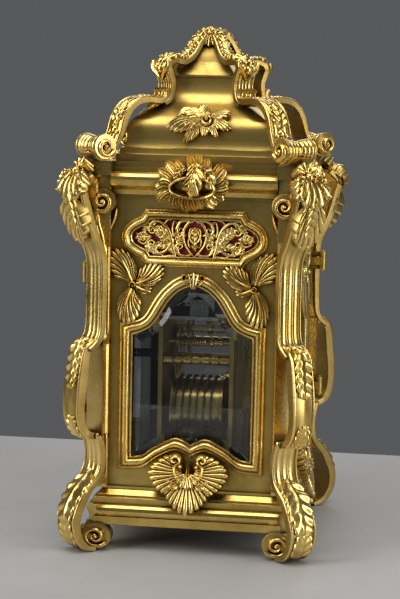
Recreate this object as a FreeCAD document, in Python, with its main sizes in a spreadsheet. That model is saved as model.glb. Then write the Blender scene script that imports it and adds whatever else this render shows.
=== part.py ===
import FreeCAD, Part
import os
from math import sin, cos, pi, radians, sqrt, atan2
import Sketcher

V = FreeCAD.Vector
R = FreeCAD.Rotation
PL = FreeCAD.Placement
doc = FreeCAD.newDocument("carriage_clock")

# ---------------------------------------------------------------- sizes, mm
SIZES = [
    ("case_half_x", 62.5), ("case_half_y", 48.5), ("wall_t", 4.0),
    ("plinth_bottom", 14.5), ("plinth_top", 36.0), ("plinth_wall", 6.0),
    ("body_top", 203.0), ("cornice_top", 223.6), ("dome_top", 281.0), ("crest_top", 300.0),
    ("frame_proud", 3.0), ("glass_t", 3.0), ("fret_t", 1.2), ("cloth_t", 0.6),
    ("ridge_w", 14.0), ("scroll_w", 15.0), ("band_w", 19.0), ("crest_w", 9.0),
    ("door_half_x", 56.5), ("door_back_y", 49.2), ("door_t", 5.3), ("door_bottom", 38.0), ("door_top", 197.6),
    ("hinge_x", 58.5), ("hinge_y", 63.5), ("knuckle_r", 2.2), ("pin_r", 0.8),
    ("dial_y", 44.3), ("dial_t", 1.5), ("dial_cz", 105.0),
    ("plate_half_x", 44.0), ("plate_top", 131.0), ("plate_t", 2.5), ("front_plate_y", 22.5), ("back_plate_y", 19.3),
    ("pillar_r", 3.0), ("barrel_x", 22.0), ("barrel_z", 76.0), ("barrel_r", 19.0), ("barrel_len", 31.0),
    ("fusee_x", 15.0), ("fusee_z", 77.0), ("arbor_r", 2.0),
    ("platform_t", 2.0), ("balance_r", 8.6), ("knob_r", 3.6),
]
VAL = dict(SIZES)
sheet = doc.addObject("Spreadsheet::Sheet", "params")
for i, (nm, v) in enumerate(SIZES):
    cell = "B%d" % (i + 1)
    sheet.set("A%d" % (i + 1), nm)
    sheet.set(cell, str(v))
    sheet.setAlias(cell, nm)
doc.recompute()

HX, HY = VAL["case_half_x"], VAL["case_half_y"]
OUT = []          # (object, node name)


def q(expr):
    """value of an expression written with the sheet's names"""
    e = expr
    for nm in sorted(VAL, key=len, reverse=True):
        e = e.replace("params." + nm, repr(VAL[nm]))
    total = 0.0
    # sums and differences of products only
    tok = e.replace("-", "+-").split("+")
    for t in tok:
        t = t.strip()
        if not t:
            continue
        p = 1.0
        for f in t.split("*"):
            f = f.strip()
            neg = False
            while f.startswith("-"):
                neg = not neg
                f = f[1:].strip()
            p *= (-1 if neg else 1) * float(f)
        total += p
    return total


def num(c):
    return q(c) if isinstance(c, str) else float(c)


def keep(obj, name):
    obj.Label = name
    OUT.append((obj, name))
    return obj


def body(name):
    return doc.addObject("PartDesign::Body", "b_" + name)


def plane(b, role):
    return [f for f in b.Origin.OriginFeatures if f.Role == role][0]


def sketch(b, name, role="XY_Plane", off=0.0):
    s = b.newObject("Sketcher::SketchObject", name)
    s.AttachmentSupport = [(plane(b, role), "")]
    s.MapMode = "FlatFace"
    o = num(off)
    s.AttachmentOffset = PL(V(0, 0, o), R())
    if isinstance(off, str):
        s.setExpression(".AttachmentOffset.Base.z", off)
    return s


def segs_to_geo(segs):
    geo = []
    for sg in segs:
        p = [V(num(a), num(b_), 0) for a, b_ in sg]
        if len(p) == 2:
            geo.append(Part.LineSegment(p[0], p[1]))
        else:
            c = Part.BSplineCurve()
            c.interpolate(p)
            geo.append(c)
    return geo


def draw(s, segs, bind=True):
    """closed outline of lines (2 points) and splines (3 or more)"""
    base = s.GeometryCount
    geo = segs_to_geo(segs)
    n = len(geo)
    for g in geo:
        s.addGeometry(g, False)
    for i in range(n):
        s.addConstraint(Sketcher.Constraint("Coincident", base + i, 2, base + (i + 1) % n, 1))
    for i, sg in enumerate(segs):
        x, y = sg[0]
        if isinstance(x, str):
            c = s.addConstraint(Sketcher.Constraint("DistanceX", -1, 1, base + i, 1, num(x)))
            s.setExpression("Constraints[%d]" % c, x)
        if isinstance(y, str):
            c = s.addConstraint(Sketcher.Constraint("DistanceY", -1, 1, base + i, 1, num(y)))
            s.setExpression("Constraints[%d]" % c, y)
    return s


def poly(pts):
    return [[pts[i], pts[(i + 1) % len(pts)]] for i in range(len(pts))]


def circle(s, x, y, r, expr=None):
    k = s.addGeometry(Part.Circle(V(num(x), num(y), 0), V(0, 0, 1), num(r)), False)
    c = s.addConstraint(Sketcher.Constraint("Radius", k, num(r)))
    if isinstance(r, str):
        s.setExpression("Constraints[%d]" % c, r)
    c = s.addConstraint(Sketcher.Constraint("DistanceX", -1, 1, k, 3, num(x)))
    if isinstance(x, str):
        s.setExpression("Constraints[%d]" % c, x)
    c = s.addConstraint(Sketcher.Constraint("DistanceY", -1, 1, k, 3, num(y)))
    if isinstance(y, str):
        s.setExpression("Constraints[%d]" % c, y)


def pad(b, s, length, rev=False, name=None):
    p = b.newObject("PartDesign::Pad", name or "pad_" + s.Name)
    p.Profile = s
    p.Length = num(length)
    if isinstance(length, str):
        p.setExpression("Length", length)
    p.Reversed = rev
    s.Visibility = False
    b.Tip = p
    return p


def pocket(b, s, length, rev=False):
    before = None
    doc.recompute()
    before = b.Shape.Volume
    p = b.newObject("PartDesign::Pocket", "pk_" + s.Name)
    p.Profile = s
    p.Length = num(length)
    if isinstance(length, str):
        p.setExpression("Length", length)
    p.Reversed = rev
    b.Tip = p
    doc.recompute()
    if b.Shape.Volume > before - 1e-6:
        p.Reversed = not rev
        doc.recompute()
    return p


def loft(b, secs, sub=False, ruled=True):
    f = b.newObject("PartDesign::SubtractiveLoft" if sub else "PartDesign::AdditiveLoft", "loft_" + secs[0].Name)
    f.Profile = secs[0]
    f.Sections = [(x, [""]) for x in secs[1:]]
    f.Ruled = ruled
    b.Tip = f
    return f


def revolve(b, s, axis="V_Axis", angle=360.0, sub=False):
    f = b.newObject("PartDesign::Groove" if sub else "PartDesign::Revolution", "rev_" + s.Name)
    f.Profile = s
    f.ReferenceAxis = (s, [axis])
    f.Angle = angle
    b.Tip = f
    return f


def rect8(p, c, off_x=0.0, off_y=0.0):
    """rectangle of the case's half sizes plus p, with corners cut by c"""
    X = "params.case_half_x + %r" % (p + off_x)
    Y = "params.case_half_y + %r" % (p + off_y)
    x, y = q(X), q(Y)
    if c <= 0:
        return poly([("-1 * %s" % repr(x), -y), (X, -y), (x, Y), (-x, y)][0:0] or [(-x, -y), (x, -y), (X, Y), (-x, y)])
    pts = [(-x + c, -y), (x - c, -y), (x, -y + c), (x, y - c), (x - c, y), (-x + c, y), (-x, y - c), (-x, -y + c)]
    pts[3] = (X, y - c)
    pts[4] = (x - c, Y)
    return poly(pts)


# ------------------------------------------------------------ base
b = body("base_plinth")
prof = [(14.5, 8.2), (15.0, 9.0), (19.6, 9.0), (19.8, 8.4), (20.3, 9.4), (21.4, 10.4), (23.2, 10.9), (25.0, 10.4), (26.3, 9.2),
        (26.7, 8.0), (26.9, 6.6), (30.2, 6.6), (30.4, 5.2), (31.6, 4.8), (32.9, 3.4), (34.2, 2.2), (34.4, 1.4), (36.0, 1.4)]
secs = []
for k, (z, p) in enumerate(prof):
    s = sketch(b, "plinth_s%02d" % k, "XY_Plane", "params.plinth_bottom + %r" % (z - 14.5))
    draw(s, rect8(p, max(0.4, 2 * p - 14.4)))
    secs.append(s)
loft(b, secs)
s = sketch(b, "plinth_hollow", "XY_Plane", "params.plinth_top + 1")
ix, iy = HX - 6, HY - 6
draw(s, poly([(-ix, -iy), (ix, -iy), ("params.case_half_x - params.plinth_wall", "params.case_half_y - params.plinth_wall"), (-ix, iy)]))
pocket(b, s, 40)
keep(b, "base_plinth")

b = body("base_board")
s = sketch(b, "board", "XY_Plane", "params.plinth_bottom + 0.5")
ix, iy = HX - 6.1, HY - 6.1
draw(s, poly([(-ix, -iy), (ix, -iy), ("params.case_half_x - params.plinth_wall - 0.1", "params.case_half_y - params.plinth_wall - 0.1"), (-ix, iy)]))
pad(b, s, "params.plinth_top - params.plinth_bottom - 0.5")
keep(b, "base_board")

# ------------------------------------------------------------ outlines of window and fret
def half_to_full(half_r):
    """mirror right-hand segments (bottom centre to apex) to make the closed outline"""
    left = [[(-x, z) for x, z in reversed(sg)] for sg in reversed(half_r)]
    return half_r + left


def win(d=0.0, kx=1.0, corner=34.5, foot=53.7, sh=124.5, apex=153.3):
    """inner edge of the window moulding, moved outward by d"""
    w = (corner + d) * kx
    f = foot - d
    a = [[(0, 62.0 - d), (4 * kx, 64.3 - d), (10 * kx, 65.4 - d), (20 * kx, 60.5 - d), (28 * kx, 55.0 - d * 1.02), (w, f)],
         [(w, f), (w, sh + d * 0.9)],
         [(w, sh + d * 0.9), ((30 + d * 0.35) * kx, 126.2 + d * 0.93), ((25 + d * 0.5) * kx, 128.8 + d * 0.87), ((21 + d * 0.75) * kx, 133.2 + d * 0.66),
          ((17.2 + d * 0.85) * kx, 139.6 + d * 0.53), ((13.4 + d * 0.78) * kx, 145.4 + d * 0.62), ((8.4 + d * 0.5) * kx, 150.2 + d * 0.87),
          ((3.4 + d * 0.2) * kx, 152.8 + d * 0.98), (0, apex + d)]]
    return half_to_full(a)


def fretline(d=0.0):
    """inner edge of the fret cartouche, moved outward by d"""
    zc = 180.7
    nose = [(25.6 + d * 0.45, 10.6 + d), (27.4 + d * 0.6, 7.6 + d * 0.8), (30.6 + d * 0.55, 5.9 + d * 0.85), (34.1 + d * 0.7, 3.9 + d * 0.7), (35.6 + d * 0.95, 2.1 + d * 0.35), (36 + d, 0)]
    c = nose[0][0]
    top = [[(0, zc - 10.6 - d), (c, zc - 10.6 - d)],
           [(a_, zc - b_) for a_, b_ in nose] + [(a_, zc + b_) for a_, b_ in nose[-2::-1]],
           [(c, zc + 10.6 + d), (0, zc + 10.6 + d)]]
    return half_to_full(top)


# ------------------------------------------------------------ side walls and what is on them
def side_set(sgn, tag):
    # wall
    b = body("side_panel_" + tag)
    x0 = "params.case_half_x - params.wall_t" if sgn > 0 else "-1 * params.case_half_x"
    s = sketch(b, "wall_" + tag, "YZ_Plane", x0)
    draw(s, poly([(-HY, 36.05), (HY, 36.05), ("params.case_half_y", "params.body_top"), (-HY, 203.0)]))
    draw(s, win(1.6))
    draw(s, fretline(1.4))
    pad(b, s, "params.wall_t")
    keep(b, "side_panel_" + tag)
    # window moulding, two steps high
    b = body("side_window_frame_" + tag)
    xf = "params.case_half_x + 0.02" if sgn > 0 else "-1 * params.case_half_x - 0.02 - params.frame_proud * 0.6"
    s = sketch(b, "wf_a_" + tag, "YZ_Plane", xf)
    draw(s, win(7.6))
    draw(s, win(0.0))
    pad(b, s, "params.frame_proud * 0.6")
    xf = "params.case_half_x + 0.02 + params.frame_proud * 0.6" if sgn > 0 else "-1 * params.case_half_x - 0.02 - params.frame_proud"
    s = sketch(b, "wf_b_" + tag, "YZ_Plane", xf)
    draw(s, win(6.0))
    draw(s, win(1.6))
    pad(b, s, "params.frame_proud * 0.4")
    keep(b, "side_window_frame_" + tag)
    # bevelled glass
    b = body("side_glass_" + tag)
    xg = "params.case_half_x - params.glass_t - 0.5" if sgn > 0 else "-1 * params.case_half_x + 0.5"
    s = sketch(b, "gl_" + tag, "YZ_Plane", xg)
    draw(s, win(1.5))
    pad(b, s, "params.glass_t")
    keep(b, "side_glass_" + tag)
    # fret casting: moulded frame with the pierced plate in it
    b = body("sound_fret_" + tag)
    xf = "params.case_half_x + 0.02" if sgn > 0 else "-1 * params.case_half_x - 0.02 - params.frame_proud"
    s = sketch(b, "ff_" + tag, "YZ_Plane", xf)
    draw(s, fretline(5.8))
    draw(s, fretline(0.0))
    pad(b, s, "params.frame_proud")
    xf = "params.case_half_x - 1" if sgn > 0 else "-1 * params.case_half_x + 1 - params.fret_t"
    s = sketch(b, "fp_" + tag, "YZ_Plane", xf)
    draw(s, fretline(1.2))
    zc = 180.7
    for (cy, cz, r) in [(0, 0, 4.4), (9.4, 4.9, 3.3), (-9.4, 4.9, 3.3), (9.4, -4.9, 3.3), (-9.4, -4.9, 3.3), (18.6, 4.7, 3.0), (-18.6, 4.7, 3.0),
                        (18.6, -4.7, 3.0), (-18.6, -4.7, 3.0), (26.2, 0, 2.6), (-26.2, 0, 2.6), (0, 8.2, 1.5), (0, -8.2, 1.5), (14, 0, 1.7), (-14, 0, 1.7)]:
        circle(s, cy, zc + cz, r)
    pad(b, s, "params.fret_t")
    # strip that joins plate and frame
    s = sketch(b, "fj_" + tag, "YZ_Plane", "params.case_half_x - 1 + params.fret_t * 0.5" if sgn > 0 else "-1 * params.case_half_x - 0.5")
    draw(s, fretline(1.2))
    draw(s, fretline(-0.8))
    pad(b, s, 0.9 if sgn > 0 else 1.0)
    keep(b, "sound_fret_" + tag)
    b = body("fret_cloth_" + tag)
    xc = "params.case_half_x - 2.4" if sgn > 0 else "-1 * params.case_half_x + 2.4 - params.cloth_t"
    s = sketch(b, "fc_" + tag, "YZ_Plane", xc)
    draw(s, fretline(1.3))
    pad(b, s, "params.cloth_t")
    keep(b, "fret_cloth_" + tag)


side_set(1, "right")
side_set(-1, "left")


# ------------------------------------------------------------ front and rear frames, doors
def face_frame(sgn, tag):
    b = body(tag + "_frame")
    # sketch normal of XZ_Plane is -Y
    y0 = "params.case_half_y - params.wall_t" if sgn < 0 else "-1 * params.case_half_y"
    s = sketch(b, "fr_" + tag, "XZ_Plane", y0)
    w = HX - 4.1
    draw(s, poly([(-w, 36.05), ("params.case_half_x - params.wall_t - 0.1", 36.05), (w, "params.body_top"), (-w, 203.0)]))
    draw(s, win(3.0, 1.22))
    pad(b, s, "params.wall_t")
    # fixed knuckles of the two hinges, on leaves
    hx = VAL["hinge_x"] * (-sgn)
    hy = VAL["hinge_y"] * sgn
    for k, zc in enumerate((80.0, 159.0)):
        for j, (za, zb) in enumerate(((zc - 5.5, zc - 2.5), (zc + 2.5, zc + 5.5))):
            s = sketch(b, "kn_%s_%d%d" % (tag, k, j), "XY_Plane", za)
            sx = -sgn
            # foot let into the frame, leaf and round knuckle as one outline
            arc = []
            for t in range(0, 18):
                ang = radians(t * 15)
                arc.append((hx + sx * 2.2 * cos(ang), hy + sgn * 2.2 * sin(ang)))
            pts2 = [(hx - sx * 3.0, sgn * (HY - 0.6)), (hx - sx * 0.25, sgn * (HY - 0.6)), (hx - sx * 0.25, sgn * (HY + 0.06)), (hx + sx * 2.2, sgn * (HY + 0.06))]
            pts2 += arc + [(hx + sx * 1.2, hy - sgn * 1.84), (hx + sx * 1.2, sgn * (HY + 0.6)), (hx - sx * 3.0, sgn * (HY + 0.6))]
            draw(s, poly(pts2))
            circle(s, hx, hy, "params.pin_r")
            pad(b, s, 3.0)
    keep(b, tag + "_frame")


def door(sgn, tag):
    b = body(tag + "_door")
    y0 = "params.door_back_y" if sgn < 0 else "-1 * params.door_back_y - params.door_t"
    s = sketch(b, "dr_" + tag, "XZ_Plane", y0)
    w = VAL["door_half_x"]
    draw(s, poly([(-w, 38.0), ("params.door_half_x", 38.0), (w, "params.door_top"), (-w, VAL["door_top"])]))
    draw(s, win(0.0, 1.22))
    kx = -VAL["door_half_x"] + 3.2
    kx = kx if sgn < 0 else -kx
    circle(s, kx, 112.0, 1.05)
    pad(b, s, "params.door_t")
    # rebate for the glass
    y1 = "params.door_back_y" if sgn < 0 else "-1 * params.door_back_y"
    s = sketch(b, "rb_" + tag, "XZ_Plane", y1)
    draw(s, win(2.0, 1.22))
    pocket(b, s, 2.4, rev=(sgn < 0))
    # window moulding on the outside
    y2 = "params.door_back_y + params.door_t" if sgn < 0 else "-1 * params.door_back_y - params.door_t - 1.8"
    s = sketch(b, "dm_" + tag, "XZ_Plane", y2)
    draw(s, win(6.5, 1.22))
    draw(s, win(0.4, 1.22))
    pad(b, s, 1.8)
    hx = VAL["hinge_x"] * (-sgn)
    hy = VAL["hinge_y"] * sgn
    sx = -sgn
    for k, zc in enumerate((80.0, 159.0)):
        s = sketch(b, "dk_%s_%d" % (tag, k), "XY_Plane", zc - 2.4)
        arc = []
        for t in range(0, 19):
            ang = radians(-90 + t * 15)
            arc.append((hx + sx * 2.2 * cos(ang), hy + sgn * 2.2 * sin(ang)))
        pts = arc + [(hx - sx * 4.5, hy), (hx - sx * 4.5, sgn * 52.0), (hx - sx * 2.4, sgn * 52.0), (hx - sx * 2.4, hy - sgn * 2.2)]
        draw(s, poly(pts))
        circle(s, hx, hy, "params.pin_r + 0.06")
        pad(b, s, 4.8)
    keep(b, tag + "_door")
    b = body(tag + "_door_glass")
    y1 = "params.door_back_y + 0.1" if sgn < 0 else "-1 * params.door_back_y - 0.1 - 2.2"
    s = sketch(b, "dg_" + tag, "XZ_Plane", y1)
    draw(s, win(1.9, 1.22))
    pad(b, s, 2.2)
    keep(b, tag + "_door_glass")
    # turning knob
    b = body(tag + "_door_knob")
    s = sketch(b, "kb_" + tag, "XY_Plane")
    yb = VAL["door_back_y"]
    prof = [(0, yb + 0.8), (1.0, yb + 0.8), (1.0, yb + 5.45), (2.4, yb + 5.45), (2.4, yb + 6.3), (1.3, yb + 7.0), (1.5, yb + 8.0), (2.6, yb + 8.8),
            (3.15, yb + 10.3), (2.9, yb + 11.8), (1.8, yb + 12.9), (0, yb + 13.2)]
    draw(s, poly([(r, sgn * y) for r, y in prof]))
    revolve(b, s, "V_Axis")
    b.Placement = PL(V(kx, 0, 112.0), R())
    keep(b, tag + "_door_knob")


for sgn, tag in ((-1, "front"), (1, "rear")):
    face_frame(sgn, tag)
    door(sgn, tag)

# hinge pins, four alike
pins = []
for k, (x, y) in enumerate(((VAL["hinge_x"], -VAL["hinge_y"]), (-VAL["hinge_x"], VAL["hinge_y"]))):
    for j, zc in enumerate((80.0, 159.0)):
        c = doc.addObject("Part::Cylinder", "pin_%d%d" % (k, j))
        c.setExpression("Radius", "params.pin_r")
        c.Height = 13.0
        c.Placement = PL(V(x, y, zc - 6.5), R())
        h_ = doc.addObject("Part::Cylinder", "pinhead_%d%d" % (k, j))
        h_.Radius = 1.3
        h_.Height = 0.7
        h_.Placement = PL(V(x, y, zc + 5.8), R())
        fu = doc.addObject("Part::MultiFuse", "pinf_%d%d" % (k, j))
        fu.Shapes = [c, h_]
        pins.append(fu)
comp = doc.addObject("Part::Compound", "hinge_pins_c")
comp.Links = pins
keep(comp, "hinge_pins")

# ------------------------------------------------------------ corner pilasters
# local frame: origin on the corner of the case, +X outward on the diagonal
S2 = sqrt(2.0)


def loc(dx, ey):
    """offsets along the two faces to the local diagonal frame"""
    return ((dx + ey) / S2, (dx - ey) / S2)


def section(U, hw, lip=-1.0, side=3.0, drop=3.0):
    e3 = (U - hw) / S2
    e2 = min(max(lip + 0.1, e3 - drop), 1.5)
    sd = side + max(0.0, min(3.0, (e3 - 1.0) * 0.6))
    pr = [(0.1, lip), (side, lip), (sd, e2), ((U + hw) / S2, e3)]
    pts = [loc(*p) for p in pr]
    pts += [(a, -b_) for a, b_ in reversed(pts)]
    pts.append(loc(0.1, 0.1))
    return poly(pts)


def pilaster(tag, cx, cy, ang):
    b = body("corner_pilaster_" + tag)
    n = [0]

    def secs_of(rows):
        out = []
        for z, U, hw in rows:
            n[0] += 1
            s = sketch(b, "ps_%s_%02d" % (tag, n[0]), "XY_Plane", "params.plinth_top + %r" % (z - 36.0))
            draw(s, section(U, hw))
            out.append(s)
        return out
    loft(b, secs_of([(36.2, 20.2, 9.5), (38.5, 17.4, 9.5), (41, 14.8, 9.5), (44, 12.4, 9.5), (48, 10.3, 9.3), (55, 9.6, 9.2), (61, 10.2, 9.2), (65, 11.6, 9.0), (67, 13.2, 8.6)]))
    loft(b, secs_of([(67, 9.0, 7.0), (119, 9.0, 7.0)]))
    loft(b, secs_of([(119, 14.0, 8.6), (122, 12.0, 8.4), (127, 10.8, 8.2), (143, 10.6, 8.2), (158, 10.6, 8.2), (168, 11.0, 8.4), (174.5, 13.2, 8.6), (180, 16.8, 8.8),
                     (185, 19.0, 9.2), (190, 21.0, 9.6), (199, 24.4, 10.0), (204, 25.6, 10.0), (207.5, 26.0, 10.0), (210.5, 24.6, 9.6), (213.5, 21.2, 9.2), (215.4, 18.2, 8.8)]))
    # foot band that passes outside the plinth corner
    rows = [(12.6, 26.6, 9.6), (14.6, 27.45, 10.1), (18.5, 28.2, 10.2), (22.7, 27.5, 10.0), (26.5, 26.0, 9.8), (30, 24.0, 9.6), (33.5, 22.2, 9.5), (36.6, 19.4, 9.2)]
    out = []
    for z, U, hw in rows:
        n[0] += 1
        s = sketch(b, "ps_%s_%02d" % (tag, n[0]), "XY_Plane", "params.plinth_top + %r" % (z - 36.0))
        draw(s, poly([(11.2, -hw + 1.5), (U, -hw), (U, hw), (11.2, hw - 1.5)]))
        out.append(s)
    loft(b, out)
    loft(b, secs_of([(0, 12.5, 9.0), (1.2, 17.0, 9.4), (3.0, 20.8, 9.8), (5.2, 23.4, 10.0), (7.4, 25.0, 10.1), (10.5, 26.5, 10.2), (14.4, 27.5, 10.2)]))
    # open C scroll of the middle
    s = sketch(b, "cs_" + tag, "XZ_Plane", "-0.5 * params.scroll_w")
    outer = [(8, 122.0), (16, 121.4), (20.8, 118.0), (22.8, 108.0), (24.6, 94.0), (25.0, 84.0), (23.9, 75.5), (21.2, 69.8), (16.4, 66.6), (8, 65.5)]
    inner = [(8, 65.5), (8, 70.0), (14.0, 72.2), (18.0, 75.4), (19.9, 80.0), (20.2, 86.0), (19.6, 94.0), (17.6, 106.0), (14.8, 114.0), (8, 117.5), (8, 122.0)]
    draw(s, [outer, [inner[0], inner[1]], inner[1:10], [inner[9], inner[10]]])
    pad(b, s, "params.scroll_w")
    doc.recompute()
    # scroll ends that face the two sides, at head and foot
    items = [b]
    for k, (zc, ec, rr, dx0, dx1) in enumerate(((200.6, 3.0, 7.0, 2.6, 10.0), (7.25, 4.2, 7.15, 0.6, 12.0), (8.4, 3.6, 8.2, 9.3, 12.0))):
        for j in (0, 1):
            c = doc.addObject("Part::Cylinder", "vol_%s_%d%d" % (tag, k, j))
            c.Radius = rr
            c.Height = dx1 - dx0
            # disc axis lies along one face normal: +45 or -45 degrees in the local frame
            a = 45.0 if j == 0 else -45.0
            px, py = loc(dx0, ec)
            if j == 1:
                py = -py
            c.Placement = PL(V(px, py, zc), R(V(0, 0, 1), a).multiply(R(V(0, 1, 0), 90)))
            items.append(c)
    fu = doc.addObject("Part::MultiFuse", "pil_" + tag)
    fu.Shapes = items
    fu.Placement = PL(V(cx, cy, 0), R(V(0, 0, 1), ang))
    return keep(fu, "corner_pilaster_" + tag)


CORNERS = (("front_right", 1, -1, -45), ("rear_right", 1, 1, 45), ("rear_left", -1, 1, 135), ("front_left", -1, -1, -135))
for tag, sx, sy, ang in CORNERS:
    pilaster(tag, sx * HX, sy * HY, ang)

# ------------------------------------------------------------ cornice
b = body("cornice")
prof = [(203.05, 0.5), (204.6, 0.5), (204.8, 1.6), (206.0, 2.0), (207.5, 3.0), (208.7, 4.5), (209.0, 5.6), (210.0, 7.3), (211.6, 8.6), (213.4, 9.0), (215.2, 8.6), (216.8, 7.3), (217.8, 5.6), (218.0, 3.2), (220.6, 3.2), (220.8, 1.0), (223.6, 1.0)]
secs = []
for k, (z, p) in enumerate(prof):
    s = sketch(b, "cor_s%02d" % k, "XY_Plane", "params.cornice_top + %r" % (z - 223.6))
    draw(s, rect8(p, 0.0))
    secs.append(s)
loft(b, secs)
# room at the corners for the pilaster heads
s = sketch(b, "cor_cut", "XY_Plane", 215.5)
c1, c2 = 1.2, 12.0
for sx in (-1, 1):
    for sy in (-1, 1):
        x0, y0, x1, y1 = sx * (HX - c1), sy * (HY - c1), sx * (HX + c2), sy * (HY + c2)
        pts = [(x0, y0), (x1, y0), (x1, y1), (x0, y1)]
        if sx * sy < 0:
            pts.reverse()
        draw(s, poly(pts))
pocket(b, s, 14.0)
# open underside, part of the space in the case
s = sketch(b, "cor_hollow", "XY_Plane", "params.cornice_top - 4")
ix, iy = HX - 6.0, HY - 6.0
draw(s, poly([(-ix, -iy), (ix, -iy), ("params.case_half_x - 6", "params.case_half_y - 6"), (-ix, iy)]))
pocket(b, s, 30.0)
# corner blocks that carry the ridge scrolls
s = sketch(b, "cor_blk", "XY_Plane", "params.cornice_top - 8")
for sx in (-1, 1):
    for sy in (-1, 1):
        x0, y0, x1, y1 = sx * (HX - 1.5), sy * (HY - 1.5), sx * (HX + 9.5), sy * (HY + 9.5)
        pts = [(x0, y0), (x1, y0), (x1, y1), (x0, y1)]
        if sx * sy < 0:
            pts.reverse()
        draw(s, poly(pts))
pad(b, s, 8.0)
keep(b, "cornice")

# ------------------------------------------------------------ dome
b = body("dome")
DOME = [(223.7, 46.5), (227.5, 46.5), (227.8, 44.6), (231.0, 44.4), (231.3, 42.6), (233.4, 41.6), (236.0, 41.2), (240.0, 41.5), (243.0, 41.0), (246.0, 39.5), (248.0, 37.8),
        (249.6, 35.8), (251.6, 32.4), (253.6, 28.4), (255.0, 25.6), (257.0, 22.8), (259.5, 20.5), (262.0, 19.0), (265.0, 18.0), (268.0, 17.5), (271.2, 17.5),
        (271.6, 18.3), (272.6, 18.3), (272.9, 16.8), (275.0, 15.4), (277.0, 13.8), (279.0, 12.4), (281.0, 11.2)]
secs = []
for k, (z, hy) in enumerate(DOME):
    s = sketch(b, "dom_s%02d" % k, "XY_Plane", "params.dome_top + %r" % (z - 281.0))
    draw(s, rect8(hy - HY, 0.5))
    secs.append(s)
loft(b, secs)
secs = []
for k, (z, hy) in enumerate(((223.6, 41.0), (238.0, 38.2), (246.0, 35.5), (251.0, 27.0))):
    s = sketch(b, "domi_s%02d" % k, "XY_Plane", z)
    draw(s, rect8(hy - HY, 0.0))
    secs.append(s)
loft(b, secs, sub=True)
keep(b, "dome")

# ------------------------------------------------------------ ridge scrolls
def ridge(tag, cx, cy, ang):
    b = body("ridge_scroll_" + tag)
    s = sketch(b, "rs_" + tag, "XZ_Plane", "-0.5 * params.ridge_w")
    outer = [(17.6, 228.5), (18.0, 232.0), (16.4, 236.4), (11.5, 238.9), (6.0, 237.8), (2.2, 238.6), (-0.8, 241.5), (-2.6, 245.5), (-4.4, 249.8), (-7.6, 254.6), (-14.0, 259.0), (-22.0, 260.2), (-28.6, 259.6), (-33.2, 260.6),
             (-35.6, 264.0), (-36.2, 268.5), (-34.2, 273.2), (-33.2, 277.6), (-36.0, 281.4), (-41.5, 283.0), (-46.6, 281.2), (-48.2, 277.8)]
    inner = [(-48.2, 277.8), (-44.9, 276.9), (-43.2, 279.0), (-40.0, 279.2), (-37.6, 276.6), (-38.6, 271.6), (-40.4, 267.4), (-39.8, 262.8), (-36.9, 259.2), (-33.2, 256.4), (-28.6, 255.4),
             (-22.0, 256.3), (-15.4, 255.0), (-11.0, 251.2), (-7.6, 246.0), (-5.2, 241.0), (-2.6, 236.4), (-0.4, 232.0), (1.4, 228.0), (4.6, 223.75)]
    draw(s, [outer, inner, [(4.6, 223.75), (12.4, 223.75)], [(12.4, 223.75), (17.6, 228.5)]])
    pad(b, s, "params.ridge_w")
    doc.recompute()
    items = [b]
    # roll across the foot
    c = doc.addObject("Part::Cylinder", "roll_" + tag)
    c.Radius = 6.9
    c.Height = 21.0
    c.Placement = PL(V(11.0, -10.5, 231.9), R(V(1, 0, 0), -90))
    items.append(c)
    fu = doc.addObject("Part::MultiFuse", "rid_" + tag)
    fu.Shapes = items
    fu.Placement = PL(V(cx, cy, 0), R(V(0, 0, 1), ang))
    keep(fu, "ridge_scroll_" + tag)


for tag, sx, sy, ang in CORNERS:
    ridge(tag, sx * HX, sy * HY, ang)

# ------------------------------------------------------------ crest
legs = []
for k, (tag, sx, sy, ang) in enumerate(CORNERS):
    b = body("crest_leg_%d" % k)
    s = sketch(b, "cl_%d" % k, "XZ_Plane", "-0.5 * params.crest_w")
    outer = [(-53.4, 281.05), (-54.8, 285.2), (-57.6, 289.6), (-60.4, 293.0), (-62.6, 295.4)]
    inner = [(-62.6, 289.8), (-60.6, 287.0), (-59.6, 284.0), (-59.4, 281.05)]
    draw(s, [outer, [outer[-1], inner[0]], inner, [inner[-1], outer[0]]])
    pad(b, s, "params.crest_w")
    b.Placement = PL(V(sx * HX, sy * HY, 0), R(V(0, 0, 1), ang))
    doc.recompute()
    legs.append(b)
b = body("crest_bar")
s = sketch(b, "cbar", "YZ_Plane", -19.0)
draw(s, poly([(-5.2, 290.6), (5.2, 290.6), (4.8, 293.6), (3.2, 297.0), (0.6, "params.crest_top"), (-0.6, 300.0), (-3.2, 297.0), (-4.8, 293.6)]))
pad(b, s, 38.0)
doc.recompute()
legs.append(b)
fu = doc.addObject("Part::MultiFuse", "crest_f")
fu.Shapes = legs
keep(fu, "top_crest")


# ------------------------------------------------------------ applied mounts on the sides
def flower(cx, cz, lobes, n=72):
    """closed wavy outline about a centre: lobes is a list of (angle, reach, width)"""
    pts = []
    for i in range(n):
        a = 2 * pi * i / n
        r = 0
        for (la, lr, lw, base) in lobes:
            d = abs((a - radians(la) + pi) % (2 * pi) - pi)
            r = max(r, base + (lr - base) * max(0.0, cos(min(pi / 2, d / radians(lw) * pi / 2))) ** 1.3)
        pts.append((cx + r * cos(a), cz + r * sin(a)))
    return pts


def closed_spline(s, pts):
    c = Part.BSplineCurve()
    c.interpolate([V(a, b_, 0) for a, b_ in pts], True)
    s.addGeometry(c, False)


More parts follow.
